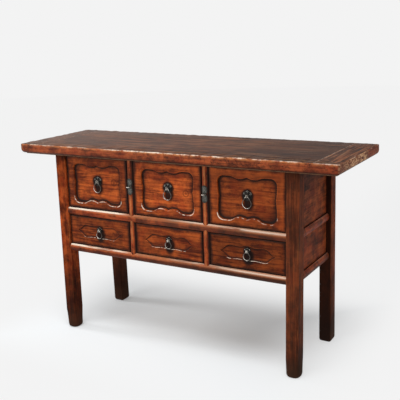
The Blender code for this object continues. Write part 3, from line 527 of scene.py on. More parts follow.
def top_wood(name, grain, seed, colours):
    """The top: grey-brown above with bleaching and a painted sheen to the left, red-brown at the edge with a
    painted shadow low on it, bare along the arris and on the worn ends.
    """
    finish = Wood(name, seed, grain)
    finish.lay_grain(colours.edge_pale, colours.edge_deep, step=40.0)
    edge = finish.base
    finish.lay_grain(colours.top_pale, colours.top_deep, bands=0.10, cloudy=0.20)
    x, y, z = finish.parts("Object")
    lines = finish.fibrous(1.3, 46.0, 83.0, detail=5.0, roughness=0.7)
    finish.wash(lines.between(0.49, 0.60) * 0.75, colours.grime)
    # darker over the right of the panel: painted, where less sheen shows
    inner = (TOP_HALF_LENGTH - x).between(TOP_FRAME_WIDTH * 0.98, TOP_FRAME_WIDTH * 1.02)
    finish.wash(x.between(0.0, 0.6) * inner * 0.62, colours.top_deep)
    scratches = finish.fibrous(3.0, 240.0, 97.0, detail=3.0, roughness=0.6)
    finish.wash(scratches.between(0.62, 0.68) * 0.45, colours.end_pale)
    stains = finish.noise((1.4, 26.0, 26.0), 47.0, detail=5.0)
    # paler grey to the left: bleaching and a painted sheen
    bleached_and_sheen = ((0.25 - x) * 0.55 + (stains - 0.5) * 0.7).between(0.1, 0.9)
    finish.wash(bleached_and_sheen * 0.21, colours.top_bleached_and_sheen)
    finish.wash(stains.between(0.50, 0.75) * 0.30, colours.grime)
    upward = finish.parts("Normal")[2]
    finish.base = finish.blend(upward.between(0.55, 0.92), edge, finish.base)
    from_end = TOP_HALF_LENGTH - abs(x)
    from_side = TOP_HALF_DEPTH - abs(y)
    drop = TABLE_HEIGHT - z
    patches = finish.noise(7.0, 11.0, detail=5.0, roughness=0.7)
    flecks = finish.noise(40.0, 23.0, roughness=0.7)
    upright = 1.0 - upward.between(0.5, 0.85)
    scored = finish.noise((30.0, 55.0, 110.0), 37.0, roughness=0.65, distortion=1.2)
    bare_end = (1.0 - from_end.between(0.004, 0.010)) * upright
    sound = (y + (patches - 0.5) * 0.08).between(0.05, 0.11)
    finish.wash(bare_end * (0.7 - sound * 0.4), colours.end_deep)
    split = scored.between(0.46, 0.56) * (1.0 - sound) * (y.between(-0.21, -0.10) * 0.7 + 0.3)
    finish.wash(bare_end * split, colours.end_pale)
    chips = finish.noise(60.0, 61.0, roughness=0.7).between(0.62, 0.70)
    finish.wash(chips * upright * 0.8, colours.grime)
    specks = finish.noise((75.0, 75.0, 110.0), 53.0, roughness=0.7).between(0.52, 0.60)
    spotted = specks * upright * (1.0 - bare_end)
    finish.wash(spotted * (0.22 + x.between(-0.2, 0.2) * 0.33), colours.grime)
    handled = (1.0 - drop.between(0.002, 0.013)) * upright * (1.0 - bare_end)
    midway = 1.0 - abs(x - 0.08).between(0.20, 0.50)
    finish.wash(handled * flecks.between(0.36, 0.60) * (midway * 0.35 + 0.5), colours.thin)
    knocks = finish.noise(26.0, 19.0, detail=5.0, roughness=0.7)
    from_arris = from_side.most(drop).least(from_end.most(drop) + 0.0022)
    arris = 1.0 - (from_arris + (knocks - 0.5) * 0.018).between(0.0006, 0.0045)
    bare = arris * patches.between(0.36, 0.52) * (flecks.between(0.36, 0.5) * 0.6 + 0.3)
    finish.wash(bare * (midway * 0.45 + 0.55), colours.worn)
    seam = 1.0 - abs(from_end - TOP_FRAME_WIDTH).between(0.0008, 0.0022)
    finish.wash(seam * flecks.between(0.46, 0.60) * upward.between(0.8, 0.95) * 0.45, colours.worn)
    # painted shadow on the low, undercut part of the edge
    finish.wash(drop.between(0.030, 0.040) * 0.85, colours.grime)
    lip = drop.between(0.0395, 0.0425) * upright * (flecks.between(0.30, 0.60) * 0.6 + 0.4)
    finish.wash(lip * 0.26, colours.end_pale)
    dull = x.between(-0.7, 0.7) * 0.16 + 0.42
    return finish.seal(dry=0.15, dull=dull, relief=0.0010, gloss=0.11)


def panel_wood(name, grain, seed, colours):
    """Thin end and back panels, mottled and never polished, with painted shade under the top."""
    finish = Wood(name, seed, grain)
    finish.lay_grain(colours.panel_pale, colours.panel_deep)
    mottle = finish.noise(9.0, 23.0, detail=5.0)
    height = finish.parts("Object")[2] + (mottle - 0.5) * 0.1
    finish.wash(mottle.between(0.44, 0.68) * (height.between(0.45, 0.70) * 0.35 + 0.35), colours.grime)
    # painted shade under the top
    finish.wash(height.between(UNDERSIDE - 0.16, UNDERSIDE) * 0.88, colours.grime)
    return finish.seal(dry=0.2, dull=0.55, relief=0.0009, gloss=0.06)


def inner_wood(name, grain, seed, colours):
    """Raw softwood inside, with handling marks."""
    finish = Wood(name, seed, grain)
    finish.lay_grain(colours.inner_pale, colours.inner_deep, bands=0.35)
    stains = finish.noise(6.0, 23.0, detail=5.0)
    finish.wash(stains.between(0.55, 0.75) * 0.35, colours.case_deep)
    return finish.seal(dry=0.2, dull=0.68, relief=0.0006, gloss=0.2)


def forged_iron(name, seed, colours, iron, rusty, rubbed):
    """Forged iron with brown patches and dark specks, and bright where it is rubbed and where highlights and
    glints are painted.
    """
    finish = Finish(name, seed)
    finish.base = iron
    blotches = finish.noise(90.0, 0.0, roughness=0.6)
    specks = finish.noise(260.0, 3.0, detail=3.0, roughness=0.6)
    pits = finish.noise(520.0, 7.0, detail=3.0, roughness=0.6)
    finish.wash(blotches.between(0.44, 0.62) * rusty, colours.rust)
    finish.wash(specks.between(0.50, 0.60) * 0.5, shaded(colours.rust, 0.25))
    # bright where rubbed, and painted highlights and glints
    bright = finish.mark("wear") * (specks.between(0.42, 0.54) * 0.9 + 0.1) * rubbed
    finish.wash(bright, colours.bright_iron_and_glint)
    finish.shader.inputs["Metallic"].default_value = 0.85
    return finish.coat(blotches * 0.3 + 0.22, pits * 0.6 + blotches * 0.4, 0.0005)


def chosen(context):
    """The sizes and colours that the user has chosen."""
    return context.scene.side_table_sizes, context.scene.side_table_colours


def put_down():
    """Leave edit mode and let go of everything."""
    if bpy.context.mode != "OBJECT":
        bpy.ops.object.mode_set(mode="OBJECT")
    bpy.ops.object.select_all(action="DESELECT")


def take_up(piece):
    put_down()
    piece.select_set(True)
    bpy.context.view_layer.objects.active = piece


@contextmanager
def on_the_bench(piece):
    """Edit mode on one piece, with all of it selected."""
    take_up(piece)
    bpy.ops.object.mode_set(mode="EDIT")
    bpy.ops.mesh.select_all(action="SELECT")
    yield
    bpy.ops.object.mode_set(mode="OBJECT")


def choose(piece, kind, test):
    """In edit mode, select just the vertices, edges or faces that pass a test."""
    bpy.ops.mesh.select_mode(type=kind)
    bpy.ops.mesh.select_all(action="DESELECT")
    form = bmesh.from_edit_mesh(piece.data)
    for element in {"VERT": form.verts, "EDGE": form.edges, "FACE": form.faces}[kind]:
        if test(element):
            element.select_set(True)
    form.select_flush_mode()
    bmesh.update_edit_mesh(piece.data)


def shift_chosen(piece, where):
    """In edit mode, move each selected vertex to where(point)."""
    form = bmesh.from_edit_mesh(piece.data)
    for vertex in form.verts:
        if vertex.select:
            vertex.co = where(vertex.co)
    bmesh.update_edit_mesh(piece.data)


def mark_chosen(piece, **amounts):
    """In edit mode, write into attributes of the selected vertices: amounts, or functions of the point."""
    for name, amount in amounts.items():
        form = bmesh.from_edit_mesh(piece.data)
        layer = form.verts.layers.float.get(name) or form.verts.layers.float.new(name)
        for vertex in form.verts:
            if vertex.select:
                vertex[layer] = amount(vertex.co) if callable(amount) else amount
        bmesh.update_edit_mesh(piece.data)


def name_blank(name):
    """Name what was just added, and put its place into its mesh."""
    piece = bpy.context.object
    piece.name = name
    piece.data.name = name
    bpy.ops.object.transform_apply(location=True, rotation=True, scale=True)
    return piece


def upright_disc(name, count, radius):
    """A flat disc with so many vertices that faces the front."""
    put_down()
    bpy.ops.mesh.primitive_circle_add(
        vertices=count, radius=radius, fill_type="NGON", rotation=(pi / 2, 0.0, 0.0)
    )
    return name_blank(name)


def blank_from_node(node, name):
    """A new piece that starts as a copy of a CAD node, its loose triangles merged into whole faces."""
    mesh = frame["nodes"][node].data.copy()
    mesh.name = name
    mesh.materials.clear()
    piece = bpy.data.objects.new(name, mesh)
    bpy.context.scene.collection.objects.link(piece)
    take_up(piece)
    bpy.ops.mesh.customdata_custom_splitnormals_clear()
    with on_the_bench(piece):
        bpy.ops.mesh.remove_doubles(threshold=0.00001)
        bpy.ops.mesh.dissolve_limited(angle_limit=radians(0.5))
    return piece


def saw(axis, places):
    """In edit mode, cut right through across an axis at some places."""
    for reach in places:
        place, direction = Vector(), Vector()
        place[axis] = reach
        direction[axis] = 1.0
        bpy.ops.mesh.select_all(action="SELECT")
        bpy.ops.mesh.bisect(plane_co=place, plane_no=direction)


def cut_across(piece, axis, step):
    """Cut a long piece into short lengths, so that it can be worn unevenly."""
    reach = [vertex.co[axis] for vertex in piece.data.vertices]
    start, span = min(reach), max(reach) - min(reach)
    count = round(span / step)
    with on_the_bench(piece):
        saw(axis, [start + index / count * span for index in range(1, count)])


def apply_to(piece, modifier):
    take_up(piece)
    bpy.ops.object.modifier_apply(modifier=modifier.name)


def weather(piece, depth, size, share=None, middle=0.5):
    """Make a surface uneven with a Displace modifier. share(point) tells how much of it a point takes."""
    texture = bpy.data.textures.new("unevenness", "CLOUDS")
    texture.noise_scale = size
    texture.noise_depth = 3
    modifier = piece.modifiers.new("Unevenness", "DISPLACE")
    modifier.texture = texture
    modifier.texture_coords = "LOCAL"
    modifier.strength = depth
    modifier.mid_level = middle
    if share is not None:
        group = piece.vertex_groups.new(name="share")
        for vertex in piece.data.vertices:
            group.add([vertex.index], share(vertex.co), "REPLACE")
        modifier.vertex_group = group.name
    apply_to(piece, modifier)
    piece.vertex_groups.clear()


def worn_blank(node, axis, step, depth, size, **looks):
    """A copy of a CAD node, cut into short lengths along an axis and made uneven."""
    piece = blank_from_node(node, "worn_" + node)
    cut_across(piece, axis, step)
    weather(piece, depth, size, **looks)
    return piece


def lean_out(piece, sizes):
    """Lean a piece of the case to front or back as the legs lean."""
    rate = sizes.foot_spread / sizes.case_half_depth
    for vertex in piece.data.vertices:
        fall = max(UNDERSIDE - vertex.co.z, 0.0) / UNDERSIDE
        vertex.co.y *= 1.0 + rate * fall
    piece.data.update()


def copy_to(pattern, name, place, sizes):
    """A copy of a pattern with its own mesh, moved to its place on the leaning case."""
    piece = pattern.copy()
    piece.data = pattern.data.copy()
    piece.name = piece.data.name = name
    bpy.context.scene.collection.objects.link(piece)
    with on_the_bench(piece):
        bpy.ops.transform.translate(value=place)
    lean_out(piece, sizes)
    return piece


def set_in_place(piece, node, material, angle=35.0):
    """Shade and finish a piece, and let it stand for its CAD node."""
    take_up(piece)
    bpy.ops.object.shade_smooth_by_angle(angle=radians(angle))
    piece.data.materials.clear()
    piece.data.materials.append(material)
    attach(piece, frame["nodes"][node]["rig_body"])
    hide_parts(node)


def dress_node(node, material):
    """Give a CAD node whose shape is right a better finish."""
    mesh = frame["nodes"][node].data
    mesh.materials.clear()
    mesh.materials.append(material)


def curve(start, first, second, end, steps=10):
    """Points of one Bezier stretch, without its last."""
    knots = [Vector((x, z, 0.0)) for x, z in (start, first, second, end)]
    return [(point.x, point.y) for point in interpolate_bezier(*knots, steps + 1)[:-1]]


def two_way(head, foot):
    """Closed outline from its upper and lower right quarters, both drawn as if above, from middle to end."""
    right = head + [(x, -z) for x, z in reversed(foot[:-1])]
    return right + [(-x, z) for x, z in reversed(right[1:-1])]


def cusped_quarter(sizes, half_x, half_z, rise):
    """One quarter of a sunk panel: half a cusp, a hump, a round corner and half a waved side."""
    hump = half_z - rise
    spread = sizes.hump_spread
    notch = sizes.cusp_notch
    corner = sizes.panel_corner
    flare = half_x - corner - sizes.hump_shoulder
    bend = (spread + flare) / 2
    turn = half_x - corner, half_z
    quarter = curve(
        (0.0, hump + notch), (spread * 0.3, hump + notch * 0.5), (spread * 0.6, hump), (spread, hump)
    )
    quarter += curve((spread, hump), (bend, hump), (bend, half_z), (flare, half_z))
    quarter += curve((flare, half_z), (flare, half_z), turn, turn, steps=5)
    for step in range(10):
        angle = pi / 2 * (1 - step / 10)
        quarter.append((half_x - corner + corner * cos(angle), half_z - corner + corner * sin(angle)))
    shoulder = half_z - corner
    cusp = sizes.side_cusp
    end = half_x - cusp, 0.0
    bent = half_x - cusp * 0.4, shoulder * 0.25
    return quarter + curve((half_x, shoulder), (half_x, shoulder * 0.6), bent, end) + [end]


def cusped_outline(sizes, width, height):
    """Outline of the sunk panel in an upper drawer, with flatter humps above than below."""
    half_x = width / 2 - sizes.panel_stile
    head = cusped_quarter(sizes, half_x, height / 2 - sizes.head_margin, sizes.head_hump)
    foot = cusped_quarter(sizes, half_x, height / 2 - sizes.foot_margin, sizes.foot_hump)
    return two_way(head, foot)


def pointed_outline(sizes, width, height):
    """Outline of the cartouche in a lower drawer: waved above and below, with pointed ends."""
    tip = width / 2 - sizes.cartouche_stile
    half_z = height / 2 - sizes.cartouche_margin
    point = sizes.cartouche_point
    shoulder = tip - point
    dip = half_z - sizes.cartouche_wave
    waist = shoulder * 0.50
    halves = []
    for middle in (half_z + sizes.cartouche_wave, half_z - sizes.cartouche_wave * 0.3):
        quarter = curve((0.0, middle), (waist * 0.45, middle), (waist * 0.55, dip), (waist, dip), steps=12)
        rising = (waist * 1.4, dip), (waist * 1.5, half_z)
        quarter += curve((waist, dip), *rising, (shoulder, half_z), steps=12)
        falling = (shoulder + point * 0.45, half_z), (shoulder + point * 0.55, half_z * 0.22)
        quarter += curve((shoulder, half_z), *falling, (tip, 0.0), steps=14)
        halves.append(quarter + [(tip, 0.0)])
    return two_way(*halves)


def stretch_to_border(piece, half_x, half_z):
    """In edit mode, carry the selected loop straight out to a rectangle, with a vertex in each corner."""
    form = bmesh.from_edit_mesh(piece.data)
    loop = [vertex for vertex in form.verts if vertex.select]
    for vertex in loop:
        vertex.co *= min(half_x / max(abs(vertex.co.x), 1e-9), half_z / max(abs(vertex.co.z), 1e-9))
    for x in (-half_x, half_x):
        for z in (-half_z, half_z):
            corner = Vector((x, 0.0, z))
            min(loop, key=lambda vertex: (vertex.co - corner).length).co = corner
    bmesh.update_edit_mesh(piece.data)


def sink_chosen(half_x, half_z, inward, down):
    """In edit mode, step the selected face inwards and back, and return its new half sizes."""
    bpy.ops.mesh.extrude_region_move(TRANSFORM_OT_translate={"value": (0.0, down, 0.0)})
    scale = ((half_x - inward) / half_x, 1.0, (half_z - inward) / half_z)
    bpy.ops.transform.resize(value=scale, center_override=(0.0, 0.0, 0.0))
    return half_x - inward, half_z - inward


def carve_front(name, node, outline, sinking, sizes):
    """A drawer front: the outline sunk step by step, then the flat round it, the arrises, sides and back."""
    low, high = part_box(node)
    half_x = (high.x - low.x) / 2
    half_z = (high.z - low.z) / 2
    arris = sizes.front_arris
    reach = max(x for x, z in outline), max(z for x, z in outline)

    def rubbed(point):
        """The lower edge of a carving is paler with rubbing and a painted highlight, its upper edge least.
        """
        return min(max((-point.z / reach[1] - 0.68) / 0.14, 0.0), 1.0)

    piece = upright_disc(name, len(outline), half_z)
    for vertex, (x, z) in zip(piece.data.vertices, outline):
        vertex.co = (-x, 0.0, z)
    with on_the_bench(piece):
        # the sinking, inwards from its edge, its walls and floor edge darkened as painted shade
        mark_chosen(piece, wear=rubbed, grime=0.0)
        choose(piece, "FACE", lambda face: True)
        bpy.ops.mesh.inset(thickness=0.0002, depth=0.0)
        span = reach
        for inward, down, wear, grime in sinking:
            span = sink_chosen(*span, inward, down)
            mark_chosen(piece, wear=lambda point: rubbed(point) * wear, grime=grime)
        # the flat round it, outwards, darkened near the carving by soiling and painted shade
        choose(piece, "EDGE", lambda edge: edge.is_boundary)
        bpy.ops.mesh.extrude_edges_move()
        shift_chosen(piece, lambda point: point + point.normalized() * sizes.dirt_and_shade_line)
        mark_chosen(piece, wear=0.03, grime=0.35)
        for inside, dirt_and_shade in ((sizes.front_border, 0.0), (arris, 0.6)):
            bpy.ops.mesh.extrude_edges_move()
            stretch_to_border(piece, half_x - inside, half_z - inside)
            mark_chosen(piece, wear=0.03, grime=dirt_and_shade)
        # the rounded arris, the sides and the back, dark as painted shade in the gaps
        for depth, before, after in ((0.3, 1.0, 0.3), (0.7, 0.3, 0.0)):
            bpy.ops.mesh.extrude_edges_move()
            bpy.ops.transform.translate(value=(0.0, arris * depth, 0.0))
            scale = [(half - arris * after) / (half - arris * before) for half in (half_x, half_z)]
            bpy.ops.transform.resize(value=(scale[0], 1.0, scale[1]), center_override=(0.0, 0.0, 0.0))
            mark_chosen(piece, wear=0.0, grime=1.0)
        bpy.ops.mesh.extrude_edges_move()
        bpy.ops.transform.translate(value=(0.0, sizes.front_thickness - arris, 0.0))
        mark_chosen(piece, wear=0.0, grime=0.8)
        bpy.ops.mesh.edge_face_add()
        bpy.ops.mesh.select_all(action="SELECT")
        bpy.ops.mesh.normals_make_consistent(inside=False)
        middle = (low + high) / 2
        face = sizes.drawer_setback - sizes.case_half_depth
        bpy.ops.transform.translate(value=(middle.x, face, middle.z))
    return piece


def forge_rose(name, radius, sizes):
    """A lobed rose with its rolled rim, boss and eye, its back on y = 0."""
    piece = upright_disc(name, count=96, radius=radius)
    thick = sizes.rose_thickness
    boss = sizes.boss_radius

    def lobed(point):
        turn = Vector((1.0, 0.0)).angle_signed(Vector((point.z, point.x)))
        return point.normalized() * (radius + sizes.rose_lobe * cos(6 * turn))

    def rounded(point):
        flat = Vector((point.x, 0.0, point.z)).normalized() * boss
        return Vector((flat.x, point.y, flat.z))

    with on_the_bench(piece):
        choose(piece, "FACE", lambda face: True)
        shift_chosen(piece, lobed)
        # the rolled rim, as steps inwards and up, then the boss
        reach = radius
        for inward, up in ((0.0, thick * 0.5), (thick * 0.15, thick * 0.3), (thick * 0.5, thick * 0.2),
                           (thick * 0.5, thick * -0.1), (thick * 0.5, thick * -0.2)):
            reach, _ = sink_chosen(reach, reach, inward, -up)
        sink_chosen(reach, reach, reach - boss, thick * -0.3)
        shift_chosen(piece, rounded)
        reach = boss
        for share, up in ((0.06, 0.4), (0.12, 0.3), (0.22, 0.2), (0.3, 0.1)):
            reach, _ = sink_chosen(reach, reach, boss * share, -sizes.boss_height * up)
        # painted highlight on the upper rim and a painted glint on the boss
        rim = radius * 0.9
        choose(piece, "VERT", lambda vertex: vertex.co.xz.length > rim and vertex.co.z > radius * 0.3)
        mark_chosen(piece, wear=0.25)
        choose(piece, "VERT", lambda vertex: vertex.co.xz.length < boss * 0.8)
        mark_chosen(piece, wear=0.5)
        bpy.ops.mesh.select_all(action="SELECT")
        bpy.ops.mesh.normals_make_consistent(inside=False)
    depth = sizes.eye_reach
    put_down()
    bpy.ops.mesh.primitive_torus_add(
        major_radius=sizes.eye_hole + sizes.eye_wire, minor_radius=sizes.eye_wire,
        major_segments=40, minor_segments=16, location=(0.0, -depth, 0.0), rotation=(0.0, pi / 2, 0.0),
    )
    eye = name_blank("eye")
    with on_the_bench(eye):
        choose(eye, "VERT", lambda vertex: vertex.co.y > -depth)
        bpy.ops.transform.resize(value=(1.25, 1.0, 1.0), center_override=(0.0, -depth, 0.0))
        # a painted glint on the front of the eye
        choose(eye, "VERT", lambda vertex: vertex.co.y < -thick - sizes.boss_height * 0.5)
        mark_chosen(eye, wear=1.0)
    take_up(eye)
    piece.select_set(True)
    bpy.context.view_layer.objects.active = piece
    bpy.ops.object.join()
    return piece


def round_iron(node, name):
    """A forged wire that starts from its CAD node and is rounded off."""
    piece = blank_from_node(node, name)
    with on_the_bench(piece):
        bpy.ops.mesh.quads_convert_to_tris()
        bpy.ops.mesh.tris_convert_to_quads(face_threshold=radians(60), shape_threshold=radians(60))
    modifier = piece.modifiers.new("Round", "SUBSURF")
    modifier.levels = modifier.render_levels = 2
    apply_to(piece, modifier)
    return piece


class SIDETABLE_OT_stage(Operator):
    """Floor, backdrop, studio light and the camera at the photograph's angle"""

    bl_idname = "side_table.stage"
    bl_label = "Stage"

    def execute(self, context):
        _, colours = chosen(context)
        put_down()
        bpy.ops.mesh.primitive_circle_add(vertices=96, radius=FLOOR_RADIUS, fill_type="NGON")
        floor = name_blank("studio_floor")
        with on_the_bench(floor):
            choose(floor, "FACE", lambda face: True)
            bpy.ops.mesh.inset(thickness=FLOOR_RADIUS - FLOOR_MIDDLE, depth=0.0)
        finish = Finish("studio floor")
        x, y, _ = finish.parts("Object")
        # glow mixed into the floor fades the table's shadow: least close under the table and towards its
        # right middle, fully beyond the right legs and far off
        beyond = (abs(x + 0.12) - 0.52).most(abs(y - 0.05) - 0.33)
        glow_over_shadow = beyond.between(-0.20, 0.36) * 0.80 + 0.18
        glow_over_shadow = glow_over_shadow - x.between(-0.3, 0.5) * 0.12 + x.between(0.60, 0.85) * 0.12
        cool = [part * tint for part, tint in zip(colours.floor, COOL_TINT)]
        lit = finish.add("ShaderNodeBsdfDiffuse", None, {"Color": cool})
        plain = finish.add("ShaderNodeEmission", None, {"Color": colours.floor, "Strength": 1.0})
        finish.show(glow_over_shadow, lit.outputs["BSDF"], plain.outputs["Emission"])
        floor.data.materials.append(finish.material)

        world = bpy.data.worlds.new("studio")
        world.use_nodes = True
        context.scene.world = world
        sky = Nodes(world.node_tree)
        rays = sky.add("ShaderNodeLightPath").outputs
        seen = Reading(sky, rays["Is Camera Ray"])
        for ray in ("Is Glossy Ray", "Is Transmission Ray"):
            seen = seen.most(Reading(sky, rays[ray]))
        ambient = sky.tree.nodes["Background"]
        sky.feed(ambient.inputs["Color"], (1.0, 1.0, 1.0))
        sky.feed(ambient.inputs["Strength"], AMBIENT_STRENGTH)
        backdrop = sky.add("ShaderNodeBackground", None, {"Color": colours.floor})
        sky.show(seen, ambient.outputs["Background"], backdrop.outputs["Background"])

        for name, place, aim, across, power in SOFTBOXES:
            lamp = bpy.data.lights.new(name, "AREA")
            lamp.shape = "SQUARE"
            lamp.size = across
            lamp.energy = power
            holder = bpy.data.objects.new(name, lamp)
            holder.location = place
            holder.rotation_euler = (Vector(aim) - Vector(place)).to_track_quat("-Z", "Y").to_euler()
            context.scene.collection.objects.link(holder)

        lens = bpy.data.cameras.new("camera")
        lens.sensor_width = 36.0
        lens.lens = FOCAL_LENGTH
        camera = bpy.data.objects.new("camera", lens)
        pose = Matrix.Translation(CAMERA_PLACE)
        for degrees, axis in ((CAMERA_TURN, "Z"), (90.0 - CAMERA_DIP, "X"), (CAMERA_ROLL, "Z")):
            pose = pose @ Matrix.Rotation(radians(degrees), 4, axis)
        camera.matrix_world = pose
        context.scene.collection.objects.link(camera)
        context.scene.camera = camera
        context.scene.view_settings.view_transform = "Standard"
        return {"FINISHED"}


class SIDETABLE_OT_top(Operator):
    """Mitred frame and floating panel of the top, knocked and rubbed along the outer arris"""

    bl_idname = "side_table.top"
    bl_label = "Top"

    def execute(self, context):
        sizes, colours = chosen(context)
        long_wood = top_wood("worn top wood, long boards", "x", 3.0, colours)
        end_wood = top_wood("worn top wood, end boards", "y", 8.0, colours)

        def on_arris(point):
            inward = min(TOP_HALF_LENGTH - abs(point.x), TOP_HALF_DEPTH - abs(point.y))
            return max(0.0, 1.0 - max(inward, TABLE_HEIGHT - point.z) / sizes.arris_reach)

        for axis, wood, ends in ((0, long_wood, ("front", "back")), (1, end_wood, SIDES)):
            for side in ends:
                node = "top_frame_" + side
                piece = worn_blank(node, axis, 0.010, sizes.arris_wear, 0.030, share=on_arris, middle=0.62)
                set_in_place(piece, node, wood)
        dress_node("top_panel", long_wood)
        return {"FINISHED"}


def shape_foot(piece, cuts, top, shape):
    """Cut a leg across, and let shape(vertex, middle, half width) move each vertex below a height."""
    with on_the_bench(piece):
        saw(2, cuts)
        form = bmesh.from_edit_mesh(piece.data)
        foot = [vertex for vertex in form.verts if vertex.co.z < top]
        low = Vector([min(vertex.co[axis] for vertex in foot) for axis in range(3)])
        high = Vector([max(vertex.co[axis] for vertex in foot) for axis in range(3)])
        for vertex in foot:
            shape(vertex, (low + high) / 2, (high.x - low.x) / 2)
        bmesh.update_edit_mesh(piece.data)


def round_foot(piece, sizes):
    """Wear the bottom edges of a leg round."""
    radius = sizes.foot_round

    def rounded(vertex, middle, half):
        up = min(max(vertex.co.z / radius, 0.0), 1.0)
        share = 1.0 - radius * 0.7 * (1.0 - sqrt(1.0 - (1.0 - up) ** 2)) / half
        vertex.co.x = middle.x + (vertex.co.x - middle.x) * share
        vertex.co.y = middle.y + (vertex.co.y - middle.y) * share

    shape_foot(piece, [radius * share for share in (0.25, 0.42, 0.6, 0.8, 1.0)], radius * BELOW, rounded)


def turn_foot(piece, sizes):
    """Wear the corners of a leg away towards the floor and let its sides swell, until it is nearly round."""
    for axis in (0, 1):
        cut_across(piece, axis, step=0.009)
    rise = sizes.foot_turn

    def turned(vertex, middle, half):
        away = Vector((vertex.co.x - middle.x, vertex.co.y - middle.y))
        up = max(vertex.co.z / rise, 0.0)
        most = half * (1.25 + 0.2 * up ** 2)
        if away.length > most:
            away *= most / away.length
        elif any(face.normal.z > -0.9 for face in vertex.link_faces):
            away *= 1.0 + (most / away.length - 1.0) * 0.6 * (1.0 - up)
        vertex.co.x = middle.x + away.x
        vertex.co.y = middle.y + away.y

    shape_foot(piece, [rise * share for share in (0.3, 0.45, 0.6, 0.8, 1.0)], rise * BELOW, turned)


def step_foot(piece, sizes):
    """Wear one side of a leg in a little above the floor, with a step where the wear ends."""
    top = sizes.foot_step
    slope = 0.010

    def stepped(vertex, middle, half):
        if vertex.co.x < middle.x:
            vertex.co.x = middle.x + (vertex.co.x - middle.x) * (1.0 - sizes.foot_notch / half)

    shape_foot(piece, (top - slope, top), top - slope / 2, stepped)


class SIDETABLE_OT_legs(Operator):
    """Four rounded legs with worn feet"""

    bl_idname = "side_table.legs"
    bl_label = "Legs"

    def execute(self, context):
        sizes, colours = chosen(context)
        # painted shade, height of the darkening above the floor, and painted shade on the front
        looks = {
            ("front", "left"): (0.0, 0.56, 0.0), ("front", "right"): (0.50, 0.20, 0.0),
            ("back", "left"): (0.5, 0.50, 0.0), ("back", "right"): (0.35, 0.45, 0.85),
        }

        def below_top(point):
            return 1.0 if point.z < UNDERSIDE - UNWORN else 0.0

        for number, (end, side) in enumerate(looks):
            node = "leg_%s_%s" % (end, side)
            piece = blank_from_node(node, "worn_" + node)
            if end == "front":
                turn_foot(piece, sizes)
            if (end, side) == ("front", "left"):
                step_foot(piece, sizes)
            round_foot(piece, sizes)
            cut_across(piece, 2, step=0.030)
            weather(piece, sizes.unevenness, size=0.09, share=below_top)
            seed = 4.0 + 3.1 * number
            wood = leg_wood("worn leg wood, %s %s" % (end, side), seed, colours, *looks[end, side])
            set_in_place(piece, node, wood)
        return {"FINISHED"}


class SIDETABLE_OT_rails(Operator):
    """Half-round rails of the front, back and ends"""

    bl_idname = "side_table.rails"
    bl_label = "Rails"

    def execute(self, context):
        sizes, colours = chosen(context)
        # grain, how much rubbing and painted light, direction of the side with the painted highlight, and
        # gloss
        looks = {
            "front": ("x", 1.0, (0.0, -0.68, 0.73), 0.08),
            "back": ("x", 0.1, (0.0, 0.62, 0.78), 0.03),
            "left": ("y", 0.1, (-0.62, 0.0, 0.78), 0.03),
            "right": ("y", 0.1, (0.62, 0.0, 0.78), 0.03),
        }
        seed = 2.0
        for side, (grain, worn, rub_and_highlight_side, gloss) in looks.items():
            # how dark the painted shade below is, and how far it reaches round
            for level, dark_below in (("mid", (0.12, 0.28)), ("bottom", (0.70, 0.52))):
                node = "rail_%s_%s" % (side, level)
                piece = worn_blank(node, "xyz".index(grain), 0.030, sizes.unevenness * 0.6, 0.07)
                name = "worn rail wood, %s %s" % (side, level)
                wood = rail_wood(name, grain, seed, colours, worn, rub_and_highlight_side, dark_below, gloss)
                set_in_place(piece, node, wood)
                seed += 5.0
        return {"FINISHED"}


class SIDETABLE_OT_muntins(Operator):
    """Half-round muntins between the drawers"""

    bl_idname = "side_table.muntins"
    bl_label = "Muntins"

    def execute(self, context):
        sizes, colours = chosen(context)
        wood = muntin_wood("worn muntin wood", 44.0, colours)
        for row in ROWS:
            for side in SIDES:
                node = "muntin_%s_%s" % (row, side)
                piece = worn_blank(node, 2, 0.020, sizes.unevenness * 0.5, 0.06)
                set_in_place(piece, node, wood)
        return {"FINISHED"}


